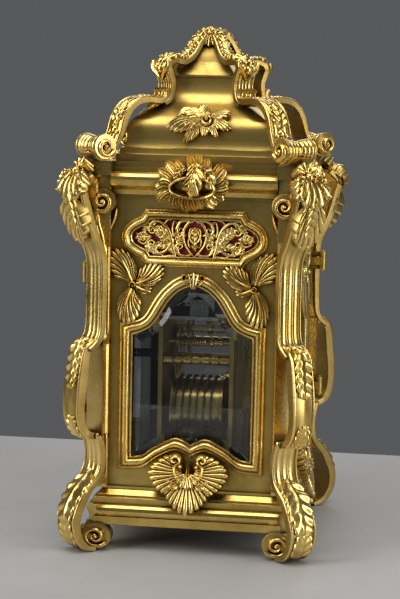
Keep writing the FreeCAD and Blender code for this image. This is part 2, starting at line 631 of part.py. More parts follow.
def mount(name, sgn, prof_xz, outline_yz, holes=(), yspan=30.0):
    """casting that hugs the wall: side profile cut to the outline"""
    b1 = body(name + "_p")
    s = sketch(b1, name + "_ps", "XZ_Plane", -yspan)
    draw(s, poly([(sgn * x, z) for x, z in prof_xz]))
    pad(b1, s, 2 * yspan)
    b2 = body(name + "_o")
    s = sketch(b2, name + "_os", "YZ_Plane", 20.0 if sgn > 0 else -100.0)
    closed_spline(s, outline_yz)
    for hl in holes:
        closed_spline(s, hl)
    pad(b2, s, 80.0)
    doc.recompute()
    cm = doc.addObject("Part::MultiCommon", name + "_c")
    cm.Shapes = [b1, b2]
    return cm


def ell(cx, cz, a, b_, n=24):
    return [(cx + a * cos(2 * pi * i / n), cz + b_ * sin(2 * pi * i / n)) for i in range(n)]


def group(name, items):
    g = doc.addObject("Part::Compound", "g_" + name)
    g.Links = items
    return keep(g, name)


shells, wreaths, domes, spans = [], [], [], []
for sgn, tag in ((1, "right"), (-1, "left")):
    # shell under the window
    out = flower(0, 40, [(90, 17, 70, 12), (40, 22, 38, 12), (140, 22, 38, 12), (0, 18, 40, 12), (180, 18, 40, 12), (-35, 19, 30, 12), (215, 19, 30, 12), (-65, 19.5, 24, 12), (245, 19.5, 24, 12), (-90, 18.6, 22, 12)])
    prof = [(62.6, 38.2), (64.4, 36.6), (66.4, 34.8), (69.9, 31.0), (74.0, 27.4), (74.0, 21), (77.6, 21), (78.2, 28), (76.0, 38), (72.0, 48), (69.0, 57), (68.0, 62), (65.8, 62), (65.8, 44.4), (62.6, 43.6)]
    shells.append(mount("shell_mount_" + tag, sgn, prof, out))
    # pierced plume on the cornice
    out = flower(0, 211, [(90, 19.6, 34, 14), (45, 18, 34, 14), (135, 18, 34, 14), (0, 20.6, 34, 14), (180, 20.6, 34, 14), (-38, 16.8, 34, 12), (218, 16.8, 34, 12), (-90, 12.9, 40, 11.5)])
    prof = [(65.8, 198.1), (69.5, 198.1), (74.5, 204), (77.2, 210), (77.0, 216), (72.5, 224), (68.6, 231), (62.0, 231), (62.0, 226), (64.8, 224), (66.2, 220.8), (66.2, 218.4), (68.7, 218.3), (70.5, 217.1), (71.6, 215.5), (71.9, 213.4),
            (71.6, 211.3), (70.5, 209.7), (68.5, 208.6), (65.8, 206.5), (64.6, 204.6), (64.6, 203.0), (65.8, 199)]
    wreaths.append(mount("wreath_mount_" + tag, sgn, prof, out, [ell(0, 209.8, 11.8, 4.4)]))
    # leaf on the dome
    out = flower(0, 248, [(90, 12.8, 60, 9), (20, 18.0, 34, 9), (160, 18.8, 34, 9), (-30, 19.0, 30, 9), (210, 18.0, 30, 9), (-90, 11.0, 60, 8)])
    prof = [(55.6, 236.8), (55.9, 240), (55.5, 243.2), (54.0, 246.3), (52.4, 248.3), (50.5, 250.0), (47.0, 252.0), (43.0, 254.0), (37.6, 257.6), (35.0, 260.8), (38, 261.6), (44, 258.8), (53, 254.6), (58, 250), (60, 243), (58.6, 236.8)]
    domes.append(mount("dome_mount_" + tag, sgn, prof, out))
    # leaves beside the arch
    for sy, tg in ((-1, "front"), (1, "rear")):
        b = body("spandrel_mount_%s_%s" % (tag, tg))
        s = sketch(b, "sp_%s_%s" % (tag, tg), "YZ_Plane", "params.case_half_x + 0.02" if sgn > 0 else "-1 * params.case_half_x - 3.22")
        P = [(40.4, 173.6), (36.0, 167.6), (29.8, 162.4), (23.5, 161.2), (17.4, 162.6), (20.0, 159.2), (25.0, 155.5), (29.0, 150.6), (34.0, 146.0), (38.6, 142.0), (42.6, 137.4), (42.8, 134.6),
             (45.4, 139.2), (46.0, 147.0), (44.8, 155.5), (44.6, 163.0), (43.2, 168.8)]
        closed_spline(s, [(sy * a, z) for a, z in P])
        pad(b, s, 3.2)
        spans.append(b)
# the same plume and dome leaf on front and back: quarter-turned, moved out to the shallower face
for grp, items in (("wreath", wreaths), ("dome", domes)):
    for k, ang in ((0, -90), (0, 90)):
        src = items[k]
        t = doc.addObject("Part::Compound", "qt_%s_%d" % (grp, ang + 90))
        t.Links = [src]
        t.Placement = PL(V(0, (14.0 if ang < 0 else -14.0), 0), R(V(0, 0, 1), ang))
        items.append(t)
group("shell_mounts", shells)
group("wreath_mounts", wreaths)
group("dome_mounts", domes)
group("spandrel_mounts", spans)

# ------------------------------------------------------------ dial and hands
b = body("dial")
s = sketch(b, "dial_s", "XZ_Plane", "params.dial_y - params.dial_t")
draw(s, poly([(-50.0, 44.0), (50.0, 44.0), (50.0, 165.0), (-50.0, 165.0)]))
circle(s, 0, "params.dial_cz", 3.6)
pad(b, s, "params.dial_t")
s = sketch(b, "dial_ring", "XZ_Plane", "params.dial_y")
circle(s, 0, "params.dial_cz", 38.0)
circle(s, 0, "params.dial_cz", 24.0)
pad(b, s, 0.5)
keep(b, "dial")

CX, CZ = 0.0, 105.0


def shape_obj(name, shp):
    o = doc.addObject("Part::Feature", "f_" + name)
    o.Shape = shp
    return o


def cyl(x, z, y0, y1, r):
    return Part.makeCylinder(r, y1 - y0, V(x, y0, z), V(0, 1, 0))


def extr(pts, y0, y1):
    w = Part.makePolygon([V(x, y0, z) for x, z in pts] + [V(pts[0][0], y0, pts[0][1])])
    return Part.Face(w).extrude(V(0, y1 - y0, 0))


def gear(x, z, y0, y1, N, m, bore, phase=0.0, add=0.80, ded=1.15, tip=0.26, root=0.46, rim=None):
    """spur wheel on a Y axis; a tooth points along phase (degrees from +X toward +Z)"""
    rp = N * m / 2.0
    ro, ri = rp + add * m, rp - ded * m
    pts = []
    pitch = 2 * pi / N
    for i in range(N):
        a = radians(phase) + i * pitch
        for da, rr in ((-root / 2, ri), (-tip / 2, ro), (tip / 2, ro), (root / 2, ri)):
            pts.append((x + rr * cos(a + da * pitch), z + rr * sin(a + da * pitch)))
    g = extr(pts, y0, y1)
    if bore:
        g = g.cut(cyl(x, z, y0 - 1, y1 + 1, bore))
    if rim:
        # crossings: four windows
        r_in, r_out = rim
        for k in range(4):
            a0 = radians(phase + 45 + 90 * k - 32)
            a1 = radians(phase + 45 + 90 * k + 32)
            w = []
            for t in range(9):
                a = a0 + (a1 - a0) * t / 8
                w.append((x + r_out * cos(a), z + r_out * sin(a)))
            for t in range(5):
                a = a1 - radians(4) + (a0 + radians(8) - a1) * t / 4
                w.append((x + r_in * cos(a), z + r_in * sin(a)))
            g = g.cut(extr(w, y0 - 1, y1 + 1))
    return g


def mesh_phase(xa, za, xb, zb, Nb, phase_a, Na):
    """phase of wheel b so that its tooth gap faces a tooth of wheel a on the line of centres"""
    ab = atan2(zb - za, xb - xa) * 180 / pi
    # angle from a's nearest tooth to the line of centres
    pa = 360.0 / Na
    d = (ab - phase_a) % pa
    if d > pa / 2:
        d -= pa
    # b turns the other way by the same arc
    pb = 360.0 / Nb
    return ab + 180 + d * Na / Nb + pb / 2


def hand(pts, y0, y1, pipe_r, pipe_y1, bore, z0=CZ):
    h_ = extr([(x, z0 + z) for x, z in pts], y0, y1)
    h_ = h_.fuse(cyl(0, z0, y0, pipe_y1, pipe_r))
    h_ = h_.cut(cyl(0, z0, y0 - 1, pipe_y1 + 1, bore))
    return h_


def handpts(L, w):
    r = [(w * 0.9, 0), (w * 1.4, 3.2), (w * 0.5, 5.0), (w * 0.45, L * 0.45), (w * 1.5, L * 0.58), (w * 1.2, L * 0.68), (w * 0.45, L * 0.74), (w * 0.3, L * 0.9), (0.12, L)]
    l = [(-a, b_) for a, b_ in reversed(r)]
    lo = [(-w * 1.1, -3.0), (w * 1.1, -3.0)]
    return r + l + lo


# cannon pinion with the minute hand
cannon = gear(0, CZ, -25.4, -24.0, 12, 0.5, 1.0, 0.0)
mh = extr([(x, CZ + z) for x, z in handpts(35.5, 1.3)], -47.6, -47.0)
mh = mh.fuse(cyl(0, CZ, -47.6, -24.0, 1.6)).fuse(gear(0, CZ, -25.4, -24.0, 12, 0.5, None, 0.0)).cut(cyl(0, CZ, -48, -23, 1.05))
keep(shape_obj("minute_hand", mh), "minute_hand")
# hour wheel with its pipe and hand
hw = gear(0, CZ, -28.4, -27.2, 48, 0.5, None, 0.0, rim=(5.0, 9.6))
hh = extr([(x, CZ + z) for x, z in handpts(24.0, 1.7)], -46.2, -45.6)
hh = hh.fuse(cyl(0, CZ, -46.2, -27.2, 2.6)).fuse(hw).cut(cyl(0, CZ, -48, -26, 1.72))
keep(shape_obj("hour_hand", hh), "hour_hand")
# minute wheel on its stud: 36 teeth meets the cannon pinion, its 12-leaf pinion meets the hour wheel
MD = (12 + 36) * 0.5 / 2
MX, MZ = MD, CZ
ph = mesh_phase(0, CZ, MX, MZ, 36, 0.0, 12)
mw = gear(MX, MZ, -25.3, -24.1, 36, 0.5, None, ph)
HD = (12 + 48) * 0.5 / 2
# both centre distances must agree: scale the second pair
m2 = MD * 2 / 60.0
hw2 = gear(0, CZ, -28.4, -27.2, 48, m2, None, 0.0, rim=(5.0, 7.6))
hh = extr([(x, CZ + z) for x, z in handpts(24.0, 1.7)], -46.2, -45.6)
hh = hh.fuse(cyl(0, CZ, -46.2, -27.2, 2.6)).fuse(hw2).cut(cyl(0, CZ, -48, -26, 1.72))
OUT[-1][0].Shape = hh
ph2 = mesh_phase(0, CZ, MX, MZ, 12, 0.0, 48)
mw = mw.fuse(gear(MX, MZ, -28.5, -25.2, 12, m2, None, ph2)).cut(cyl(MX, MZ, -30, -23, 0.85))
keep(shape_obj("minute_wheel", mw), "minute_wheel")

# ------------------------------------------------------------ movement plates and pillars
BXX, BZZ, FXX, FZZ = VAL["barrel_x"], VAL["barrel_z"], -VAL["fusee_x"], VAL["fusee_z"]
T3X, T3Z = -13.0, CZ + 12.45
T4X, T4Z = 0.375, T3Z + 5.0
for nm, y0, y1 in (("front_plate", -22.5, -20.0), ("back_plate", 19.3, 21.8)):
    b = body(nm)
    s = sketch(b, nm + "_s", "XZ_Plane", "params.front_plate_y - params.plate_t" if y0 < 0 else "-1 * params.back_plate_y - params.plate_t")
    w, zt = VAL["plate_half_x"], 131.0
    # foot opening leaves two legs
    draw(s, poly([(-w, 36.1), (-w + 14, 36.1), (-w + 17, 43.0), (w - 17, 43.0), (w - 14, 36.1), (w, 36.1), ("params.plate_half_x", "params.plate_top"), (-w, zt)]))
    circle(s, BXX, BZZ, 2.03)
    circle(s, FXX, FZZ, 2.06)
    circle(s, CX, CZ, 1.26)
    circle(s, T3X, T3Z, 0.86)
    circle(s, T4X, T4Z, 0.86)
    if y0 < 0:
        circle(s, MX, MZ, 0.8)
    pad(b, s, "params.plate_t")
    keep(b, nm)
pil = []
for k, (x, z) in enumerate(((39.0, 108.0), (-39.0, 108.0), (39.0, 47.5), (-39.0, 47.5))):
    b = body("pillar_%d" % k)
    s = sketch(b, "pil_%d" % k, "XY_Plane")
    pts = [(0, -19.95), (3.6, -19.95), (3.6, -18.6), (3.0, -18.2)]
    y = -18.2
    while y < 14.5:
        pts += [(3.0, y + 3.4), (2.3, y + 3.8), (2.3, y + 4.6), (3.0, y + 5.0)]
        y += 5.0 if False else 5.45
    pts += [(3.0, 17.8), (3.6, 18.2), (3.6, 19.25), (0, 19.25)]
    draw(s, poly(pts))
    revolve(b, s, "V_Axis")
    b.Placement = PL(V(x, 0, z), R())
    pil.append(b)
comp = doc.addObject("Part::Compound", "pillars_c")
comp.Links = pil
keep(comp, "pillars")

# ------------------------------------------------------------ barrel, fusee and chain
b = body("spring_barrel")
s = sketch(b, "brl", "XY_Plane")
r0 = VAL["barrel_r"]
draw(s, poly([(2.06, -16.0), (17.0, -16.0), (17.0, -15.6), ("params.barrel_r + 1.0", -15.6), (r0 + 1.0, -14.6), (r0, -14.4), (r0, 13.6), (r0 + 1.0, 13.8), (r0 + 1.0, 14.8), (17.0, 14.8),
              (17.0, 15.0), (2.06, 15.0), (2.06, 13.4), (17.2, 13.4), (17.2, -14.4), (2.06, -14.4)]))
revolve(b, s, "V_Axis")
b.Placement = PL(V(BXX, 0, BZZ), R())
keep(b, "spring_barrel")

ba = cyl(BXX, BZZ, -27.0, 21.9, 2.0)
ba = ba.fuse(cyl(BXX, BZZ, -14.2, 13.2, 5.5)).fuse(extr([(BXX - 1.3, BZZ - 1.3), (BXX + 1.3, BZZ - 1.3), (BXX + 1.3, BZZ + 1.3), (BXX - 1.3, BZZ + 1.3)], -31.0, -27.0))
# set-up ratchet outside the front plate
rp = []
for i in range(24):
    a = 2 * pi * i / 24
    rp.append((BXX + 6.4 * cos(a), BZZ + 6.4 * sin(a)))
    rp.append((BXX + 5.3 * cos(a + 0.02), BZZ + 5.3 * sin(a + 0.02)))
ba = ba.fuse(extr(rp, -24.6, -22.9))
keep(shape_obj("barrel_arbor", ba), "barrel_arbor")

# mainspring coiled in the barrel
spts = []
turns, n = 7, 168
for i in range(n + 1):
    a = 2 * pi * turns * i / n
    r = 7.0 + (16.2 - 7.0) * i / n
    spts.append((BXX + r * cos(a), BZZ + r * sin(a)))
for i in range(n, -1, -1):
    a = 2 * pi * turns * i / n
    r = 6.6 + (15.8 - 6.6) * i / n
    spts.append((BXX + r * cos(a), BZZ + r * sin(a)))
keep(shape_obj("mainspring", extr(spts, -13.0, 12.0)), "mainspring")

# fusee cone with a stepped groove for the chain, on its arbor with the winding square
b = body("fusee")
s = sketch(b, "fus", "XY_Plane")
pts = [(0, -25.0), (2.0, -25.0), (2.0, -14.6), (6.6, -14.4)]
y, k = -14.0, 0
while k < 7:
    r = 7.6 + 7.6 * (k + 0.5) / 7 * (0.65 + 0.35 * (k + 0.5) / 7)
    pts += [(r + 0.9, y), (r + 0.9, y + 0.7), (r, y + 1.2), (r, y + 3.0), (r + 0.9, y + 3.5)]
    y += 3.9
    k += 1
pts += [(16.4, 13.4), (16.4, 14.6), (2.0, 14.8), (2.0, 22.6), (1.95, 22.6), (1.95, 23.0), (0, 23.0)]
draw(s, poly(pts))
revolve(b, s, "V_Axis")
b.Placement = PL(V(FXX, 0, FZZ), R())
doc.recompute()
sq = doc.addObject("Part::Box", "winding_square")
sq.Length, sq.Width, sq.Height = 2.7, 8.0, 2.7
sq.Placement = PL(V(FXX - 1.35, 22.8, FZZ - 1.35), R())
fu = doc.addObject("Part::MultiFuse", "fusee_f")
fu.Shapes = [b, sq]
keep(fu, "fusee")

GM = (sqrt((CX - FXX) ** 2 + (CZ - FZZ) ** 2)) * 2 / 80.0
gw = gear(FXX, FZZ, 15.4, 16.9, 72, GM, 2.06, 0.0, rim=(8.5, 24.5))
keep(shape_obj("great_wheel", gw), "great_wheel")

# chain: turns on the barrel as seven flat rings, and the straight run to the fusee
rings = []
for k in range(7):
    yk = 12.25 - 4.2 * k
    f = Part.Face(Part.makePolygon([V(BXX + r_, yk + d_, BZZ) for r_, d_ in ((r0 + 0.12, -0.65), (r0 + 1.0, -0.65), (r0 + 1.0, 0.65), (r0 + 0.12, 0.65), (r0 + 0.12, -0.65))]))
    rings.append(f.revolve(V(BXX, 0, BZZ), V(0, 1, 0), 360))
keep(shape_obj("chain_turns", Part.makeCompound(rings)), "chain_turns")
x1, z1 = BXX - 1.0, BZZ + r0 + 2.1
x2, z2 = FXX + 1.0, FZZ + 18.4
L = sqrt((x2 - x1) ** 2 + (z2 - z1) ** 2)
run = Part.makeBox(L, 1.3, 0.9)
run.rotate(V(0, 0, 0), V(0, 1, 0), -atan2(z2 - z1, x2 - x1) * 180 / pi)
run.translate(V(x1, 11.6, z1))
keep(shape_obj("chain_run", run), "chain_run")

# ------------------------------------------------------------ going train
ph_c = mesh_phase(FXX, FZZ, CX, CZ, 8, 0.0, 72)
cw = cyl(CX, CZ, -24.0, 21.9, 1.2)
cw = cw.fuse(cyl(CX, CZ, -40.0, -23.5, 1.0))
cw = cw.fuse(gear(CX, CZ, 14.9, 17.4, 8, GM, None, ph_c, add=0.7))
cw = cw.fuse(gear(CX, CZ, -18.6, -17.4, 64, 0.5, None, 0.0, rim=(4.5, 13.2)))
keep(shape_obj("centre_wheel", cw), "centre_wheel")
ph3 = mesh_phase(CX, CZ, T3X, T3Z, 8, 0.0, 64)
D3 = sqrt((T3X - CX) ** 2 + (T3Z - CZ) ** 2)
m3 = D3 * 2 / 72.0
tw = cyl(T3X, T3Z, -22.0, 21.5, 0.8).fuse(gear(T3X, T3Z, -19.0, -17.0, 8, m3, None, ph3, add=0.7))
tw = tw.fuse(gear(T3X, T3Z, -12.6, -11.6, 60, 0.42, None, 0.0, rim=(3.2, 10.2)))
keep(shape_obj("third_wheel", tw), "third_wheel")
D4 = sqrt((T4X - T3X) ** 2 + (T4Z - T3Z) ** 2)
m4 = D4 * 2 / 68.0
ph4 = mesh_phase(T3X, T3Z, T4X, T4Z, 8, 0.0, 60)
fw = cyl(T4X, T4Z, -22.0, 21.5, 0.8).fuse(gear(T4X, T4Z, -13.0, -11.2, 8, m4, None, ph4, add=0.6))
rim_ = cyl(T4X, T4Z, 1.0, 3.0, 5.5).cut(cyl(T4X, T4Z, 0.0, 2.2, 4.6))
for i in range(36):
    a = 2 * pi * (i + 0.5) / 36
    bx = Part.makeBox(1.8, 1.0, 0.5, V(4.3, 0.6, -0.25))
    bx.rotate(V(0, 0, 0), V(0, 1, 0), -a * 180 / pi)
    bx.translate(V(T4X, 0, T4Z))
    rim_ = rim_.cut(bx)
fw = fw.fuse(rim_)
keep(shape_obj("contrate_wheel", fw), "contrate_wheel")

# ------------------------------------------------------------ platform escapement, vertical axes
PZ = 131.1
EX, EY = T4X, -0.25
BX, BY = 21.5, 0.0
LX, LY = 10.4, 0.0
b = body("platform")
s = sketch(b, "plf", "XY_Plane", "params.plate_top + 0.1")
draw(s, poly([(-12, -21.5), (38, -21.5), (38, 21.0), (-12, 21.0)]))
circle(s, EX, EY, 0.9)
circle(s, LX, LY, 0.55)
circle(s, BX, BY, 0.55)
pad(b, s, "params.platform_t")
keep(b, "platform")


def zcyl(x, y, z0, z1, r):
    return Part.makeCylinder(r, z1 - z0, V(x, y, z0))


def zpoly(pts, z0, z1):
    w_ = Part.makePolygon([V(x, y, z0) for x, y in pts] + [V(pts[0][0], pts[0][1], z0)])
    return Part.Face(w_).extrude(V(0, 0, z1 - z0))


ew = zcyl(EX, EY, 123.9, 136.6, 0.42)
lp = []
for i in range(8):
    a = 2 * pi * i / 8 + pi / 8
    for da, rr in ((-0.16, 0.62), (-0.09, 0.95), (0.09, 0.95), (0.16, 0.62)):
        lp.append((EX + rr * cos(a + da), EY + rr * sin(a + da)))
ew = ew.fuse(zpoly(lp, 125.8, 130.0))
tp = []
for i in range(15):
    a = 2 * pi * i / 15
    tp += [(EX + 3.7 * cos(a), EY + 3.7 * sin(a)), (EX + 4.9 * cos(a + 0.17), EY + 4.9 * sin(a + 0.17)), (EX + 4.9 * cos(a + 0.25), EY + 4.9 * sin(a + 0.25)), (EX + 3.7 * cos(a + 0.2), EY + 3.7 * sin(a + 0.2))]
disc = zpoly(tp, 134.6, 135.1)
for k in range(4):
    disc = disc.cut(zcyl(EX + 2.1 * cos(k * pi / 2 + 0.4), EY + 2.1 * sin(k * pi / 2 + 0.4), 134, 136, 0.85))
ew = ew.fuse(disc)
keep(shape_obj("escape_wheel", ew), "escape_wheel")

lv = zcyl(LX, LY, 133.4, 137.4, 0.45)
lv = lv.fuse(zpoly([(LX - 3.6, LY + 5.6), (LX - 2.6, LY + 5.6), (LX + 0.9, LY + 1.0), (LX + 7.2, LY + 0.55), (LX + 7.2, LY + 0.2), (LX + 6.2, LY + 0.2), (LX + 6.2, LY - 0.2), (LX + 7.2, LY - 0.2), (LX + 7.2, LY - 0.55),
                    (LX + 0.9, LY - 1.0), (LX - 2.6, LY - 5.6), (LX - 3.6, LY - 5.6), (LX - 1.0, LY)], 135.6, 136.2))
keep(shape_obj("pallet_lever", lv), "pallet_lever")

bw = zcyl(BX, BY, 133.4, 143.0, 0.45)
ring = zcyl(BX, BY, 138.2, 139.4, VAL["balance_r"]).cut(zcyl(BX, BY, 138, 140, VAL["balance_r"] - 1.1))
arm = Part.makeBox(2 * VAL["balance_r"] - 1.0, 1.1, 0.7, V(BX - VAL["balance_r"] + 0.5, BY - 0.55, 138.4))
bw = bw.fuse(ring).fuse(arm).fuse(zcyl(BX, BY, 135.4, 136.4, 1.7))
for k in range(12):
    a = 2 * pi * (k + 0.5) / 12
    sc = Part.makeCylinder(0.42, 1.0, V(BX + (VAL["balance_r"] - 0.2) * cos(a), BY + (VAL["balance_r"] - 0.2) * sin(a), 138.8), V(cos(a), sin(a), 0))
    bw = bw.fuse(sc)
keep(shape_obj("balance_wheel", bw), "balance_wheel")

# hairspring above the balance
hp = []
n = 120
for i in range(n + 1):
    a = 2 * pi * 6 * i / n
    r = 1.1 + 3.6 * i / n
    hp.append((BX + r * cos(a), BY + r * sin(a)))
for i in range(n, -1, -1):
    a = 2 * pi * 6 * i / n
    r = 0.95 + 3.6 * i / n
    hp.append((BX + r * cos(a), BY + r * sin(a)))
hs = zpoly(hp, 140.0, 140.5).fuse(Part.makeBox(0.8, 1.0, 1.15, V(BX + 4.2, BY - 0.5, 140.0)))
keep(shape_obj("hairspring", hs), "hairspring")

ck = zpoly([(BX + 10.6, -5.5), (BX + 15.5, -5.5), (BX + 15.5, 5.5), (BX + 10.6, 5.5)], 133.15, 141.6)
ck = ck.fuse(zpoly([(BX + 15.5, -5.5), (BX + 15.5, 5.5), (BX + 8, 4.6), (BX + 2.6, 3.6), (BX - 1.6, 3.4), (BX - 3.6, 0), (BX - 1.6, -3.4), (BX + 2.6, -3.6), (BX + 8, -4.6)], 141.2, 143.0))
ck = ck.cut(zcyl(BX, BY, 140, 144, 0.5)).fuse(zcyl(BX, BY, 143.0, 143.9, 1.5).cut(zcyl(BX, BY, 142, 143.3, 0.5)))
keep(shape_obj("balance_cock", ck), "balance_cock")
rg = zcyl(BX, BY, 143.15, 143.65, 2.9).cut(zcyl(BX, BY, 143, 144, 1.56)).fuse(zpoly([(BX + 2.4, -0.8), (BX + 12.0, -0.35), (BX + 12.8, 0), (BX + 12.0, 0.35), (BX + 2.4, 0.8)], 143.15, 143.65))
keep(shape_obj("regulator_index", rg), "regulator_index")

# ------------------------------------------------------------ write
doc.recompute()
os.makedirs("parts", exist_ok=True)
bad = []
for o in doc.Objects:
    st = list(o.State)
    if "Invalid" in st or "Error" in st:
        bad.append((o.Name, st))
names = set()
for o, name in OUT:
    sh = o.Shape
    if sh.isNull():
        bad.append((name, "null"))
    elif not sh.isValid() or sh.Volume <= 0 or not sh.Solids:
        bad.append((name, "valid=%s vol=%s" % (sh.isValid(), sh.Volume)))
    names.add(name)
if bad:
    for x in bad:
        print("BAD", x)
    raise SystemExit("model not sound")
for o, name in OUT:
    o.Shape.exportStep("parts/%s.step" % name)
    bb = o.Shape.BoundBox
    print("%-30s solids %d vol %9.1f  x %.2f..%.2f y %.2f..%.2f z %.2f..%.2f" % (name, len(o.Shape.Solids), o.Shape.Volume, bb.XMin, bb.XMax, bb.YMin, bb.YMax, bb.ZMin, bb.ZMax))
print(len(OUT), "nodes")
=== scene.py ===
import math
import bpy
import bmesh
import numpy as np
from mathutils import Vector, Matrix


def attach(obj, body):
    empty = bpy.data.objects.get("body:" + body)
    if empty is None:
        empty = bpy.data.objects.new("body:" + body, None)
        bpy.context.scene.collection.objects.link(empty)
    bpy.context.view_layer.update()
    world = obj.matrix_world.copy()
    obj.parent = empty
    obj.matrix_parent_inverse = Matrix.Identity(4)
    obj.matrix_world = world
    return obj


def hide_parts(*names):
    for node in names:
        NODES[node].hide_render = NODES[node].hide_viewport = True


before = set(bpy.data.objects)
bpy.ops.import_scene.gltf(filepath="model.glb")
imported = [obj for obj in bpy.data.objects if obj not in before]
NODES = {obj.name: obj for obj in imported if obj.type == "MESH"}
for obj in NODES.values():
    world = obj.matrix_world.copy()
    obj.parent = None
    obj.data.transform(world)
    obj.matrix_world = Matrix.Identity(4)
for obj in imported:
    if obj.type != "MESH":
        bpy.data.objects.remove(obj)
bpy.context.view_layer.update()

rng = np.random.default_rng(7)
pi = math.pi
S2 = math.sqrt(2.0)
HX, HY = 62.5, 48.5
CORNERS = (("front_right", 1, -1, -45), ("rear_right", 1, 1, 45), ("rear_left", -1, 1, 135), ("front_left", -1, -1, -135))


# ------------------------------------------------------------------ mesh helpers (millimetres in, metres out)
def rad(a):
    return a * pi / 180.0


def spl(P, n=48, sub=20):
    """smooth curve through the points, sampled evenly along its length"""
    P = np.asarray(P, float)
    if len(P) > 2:
        Q = np.vstack([2 * P[0] - P[1], P, 2 * P[-1] - P[-2]])
        t = np.linspace(0, 1, sub, endpoint=False)[:, None]
        out = []
        for i in range(len(P) - 1):
            a, b, c, d = Q[i:i + 4]
            out.append(0.5 * (2 * b + (c - a) * t + (2 * a - 5 * b + 4 * c - d) * t * t + (3 * b - a - 3 * c + d) * t ** 3))
        P = np.vstack(out + [P[-1:]])
    L = np.r_[0, np.cumsum(np.linalg.norm(np.diff(P, axis=0), axis=1))]
    s = np.linspace(0, L[-1], n)
    return np.stack([np.interp(s, L, P[:, k]) for k in range(P.shape[1])], 1)


def normals2(C):
    T = np.gradient(C, axis=0)
    T /= np.maximum(1e-9, np.linalg.norm(T, axis=1))[:, None]
    return T, np.stack([-T[:, 1], T[:, 0]], 1)


class Cast:
    """one casting: a set of closed shells with a relief value for each vertex, which the gilt materials use to paint
    shade into the low parts
    """

    def __init__(self):
        self.V, self.C, self.Q, self.N, self.n = [], [], [], [], 0

    def grid(self, P, cav, cu=False, cv=True, caps=True):
        a, b = P.shape[:2]
        I = np.arange(a * b).reshape(a, b) + self.n
        A = np.vstack([I, I[:1]]) if cu else I
        if cv:
            A = np.hstack([A, A[:, :1]])
        self.Q.append(np.stack([A[:-1, :-1], A[1:, :-1], A[1:, 1:], A[:-1, 1:]], -1).reshape(-1, 4))
        if caps and not cu:
            self.N.append(tuple(int(k) for k in I[0]))
            self.N.append(tuple(int(k) for k in I[-1][::-1]))
        self.V.append(P.reshape(-1, 3))
        self.C.append(np.broadcast_to(cav, (a, b)).reshape(-1))
        self.n += a * b

    def arrays(self):
        return np.vstack(self.V), np.concatenate(self.C), np.vstack(self.Q), self.N

    def moved(self, fn):
        """the same shells with their vertices passed through fn"""
        o = Cast()
        o.V = [fn(v) for v in self.V]
        o.C, o.Q, o.N, o.n = list(self.C), list(self.Q), list(self.N), self.n
        return o

    def join(self, o):
        off = self.n
        self.V += o.V
        self.C += o.C
        self.Q += [q + off for q in o.Q]
        self.N += [tuple(k + off for k in f) for f in o.N]
        self.n += o.n
        return self


def mirror(c, axis):
    m = np.ones(3)
    m[axis] = -1
    return c.moved(lambda v: v * m)


def make(name, cast, mats, body="case", replaces=(), angle=38.0, pick=None):
    V, C, Q, N = cast.arrays()
    me = bpy.data.meshes.new(name)
    me.from_pydata((V * 0.001).tolist(), [], Q.tolist() + [list(f) for f in N])
    bm = bmesh.new()
    bm.from_mesh(me)
    bmesh.ops.recalc_face_normals(bm, faces=bm.faces)
    bm.to_mesh(me)
    bm.free()
    # relief per vertex: where it is low, the gilt materials paint shade
    at = me.attributes.new("relief", "FLOAT", "POINT")
    at.data.foreach_set("value", C.astype(np.float32))
    me.polygons.foreach_set("use_smooth", [True] * len(me.polygons))
    if angle:
        me.set_sharp_from_angle(angle=rad(angle))
    me.update()
    ob = bpy.data.objects.new(name, me)
    bpy.context.scene.collection.objects.link(ob)
    for m in (mats if isinstance(mats, (list, tuple)) else [mats]):
        me.materials.append(m)
    if body:
        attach(ob, body)
    if replaces:
        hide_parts(*replaces)
    return ob


# ---- places: each returns a function F(a, b, h) -> points, h being the height above the surface
def on_side(x0, sgn=1):
    return lambda a, b, h: np.stack([sgn * (x0 + h), a + 0 * h, b + 0 * h], -1)


def on_front(y0, sgn=-1):
    return lambda a, b, h: np.stack([a + 0 * h, sgn * (y0 + h), b + 0 * h], -1)


def on_top(z0):
    return lambda a, b, h: np.stack([a + 0 * h, b + 0 * h, z0 + h + 0 * a], -1)


class Track:
    """surface that follows a plane curve (r, z) and runs straight across it"""

    def __init__(self, P, put, n=240, flip=1):
        self.C = spl(P, n)
        self.L = np.r_[0, np.cumsum(np.linalg.norm(np.diff(self.C, axis=0), axis=1))]
        T, N = normals2(self.C)
        self.N = N * flip
        self.put = put

    def at(self, z, lo=0.0):
        """length along the curve where it first reaches height z after lo"""
        k = int(np.argmin(np.abs(self.C[:, 1] - z) + 1e3 * (self.L < lo)))
        return float(self.L[k])

    def __call__(self, a, b, h):
        a, b, h = np.broadcast_arrays(np.asarray(a, float), np.asarray(b, float), np.asarray(h, float))
        p = [np.interp(b, self.L, self.C[:, k]) for k in (0, 1)]
        n = [np.interp(b, self.L, self.N[:, k]) for k in (0, 1)]
        over = np.where(b < 0, b, np.where(b > self.L[-1], b - self.L[-1], 0.0))
        t0, t1 = self.C[1] - self.C[0], self.C[-1] - self.C[-2]
        t0, t1 = t0 / np.linalg.norm(t0), t1 / np.linalg.norm(t1)
        ex = np.where(b < 0, over * t0[0], over * t1[0])
        ez = np.where(b < 0, over * t0[1], over * t1[1])
        return self.put(p[0] + ex + n[0] * h, a, p[1] + ez + n[1] * h)


def put_x(sgn=1):
    return lambda r, a, z: np.stack([sgn * r, a, z], -1)


def put_local(r, a, z):
    """corner frame: r outward on the diagonal, a across, z up"""
    return np.stack([r, a, z], -1)


def on_face(d0):
    """corner frame, the plane of the side face moved out by d0: a is the offset past the corner, b the height"""
    def F(a, b, h):
        dx = d0 + h + 0 * a
        return np.stack([(dx + a) / S2, (dx - a) / S2, b + 0 * dx], -1)
    return F


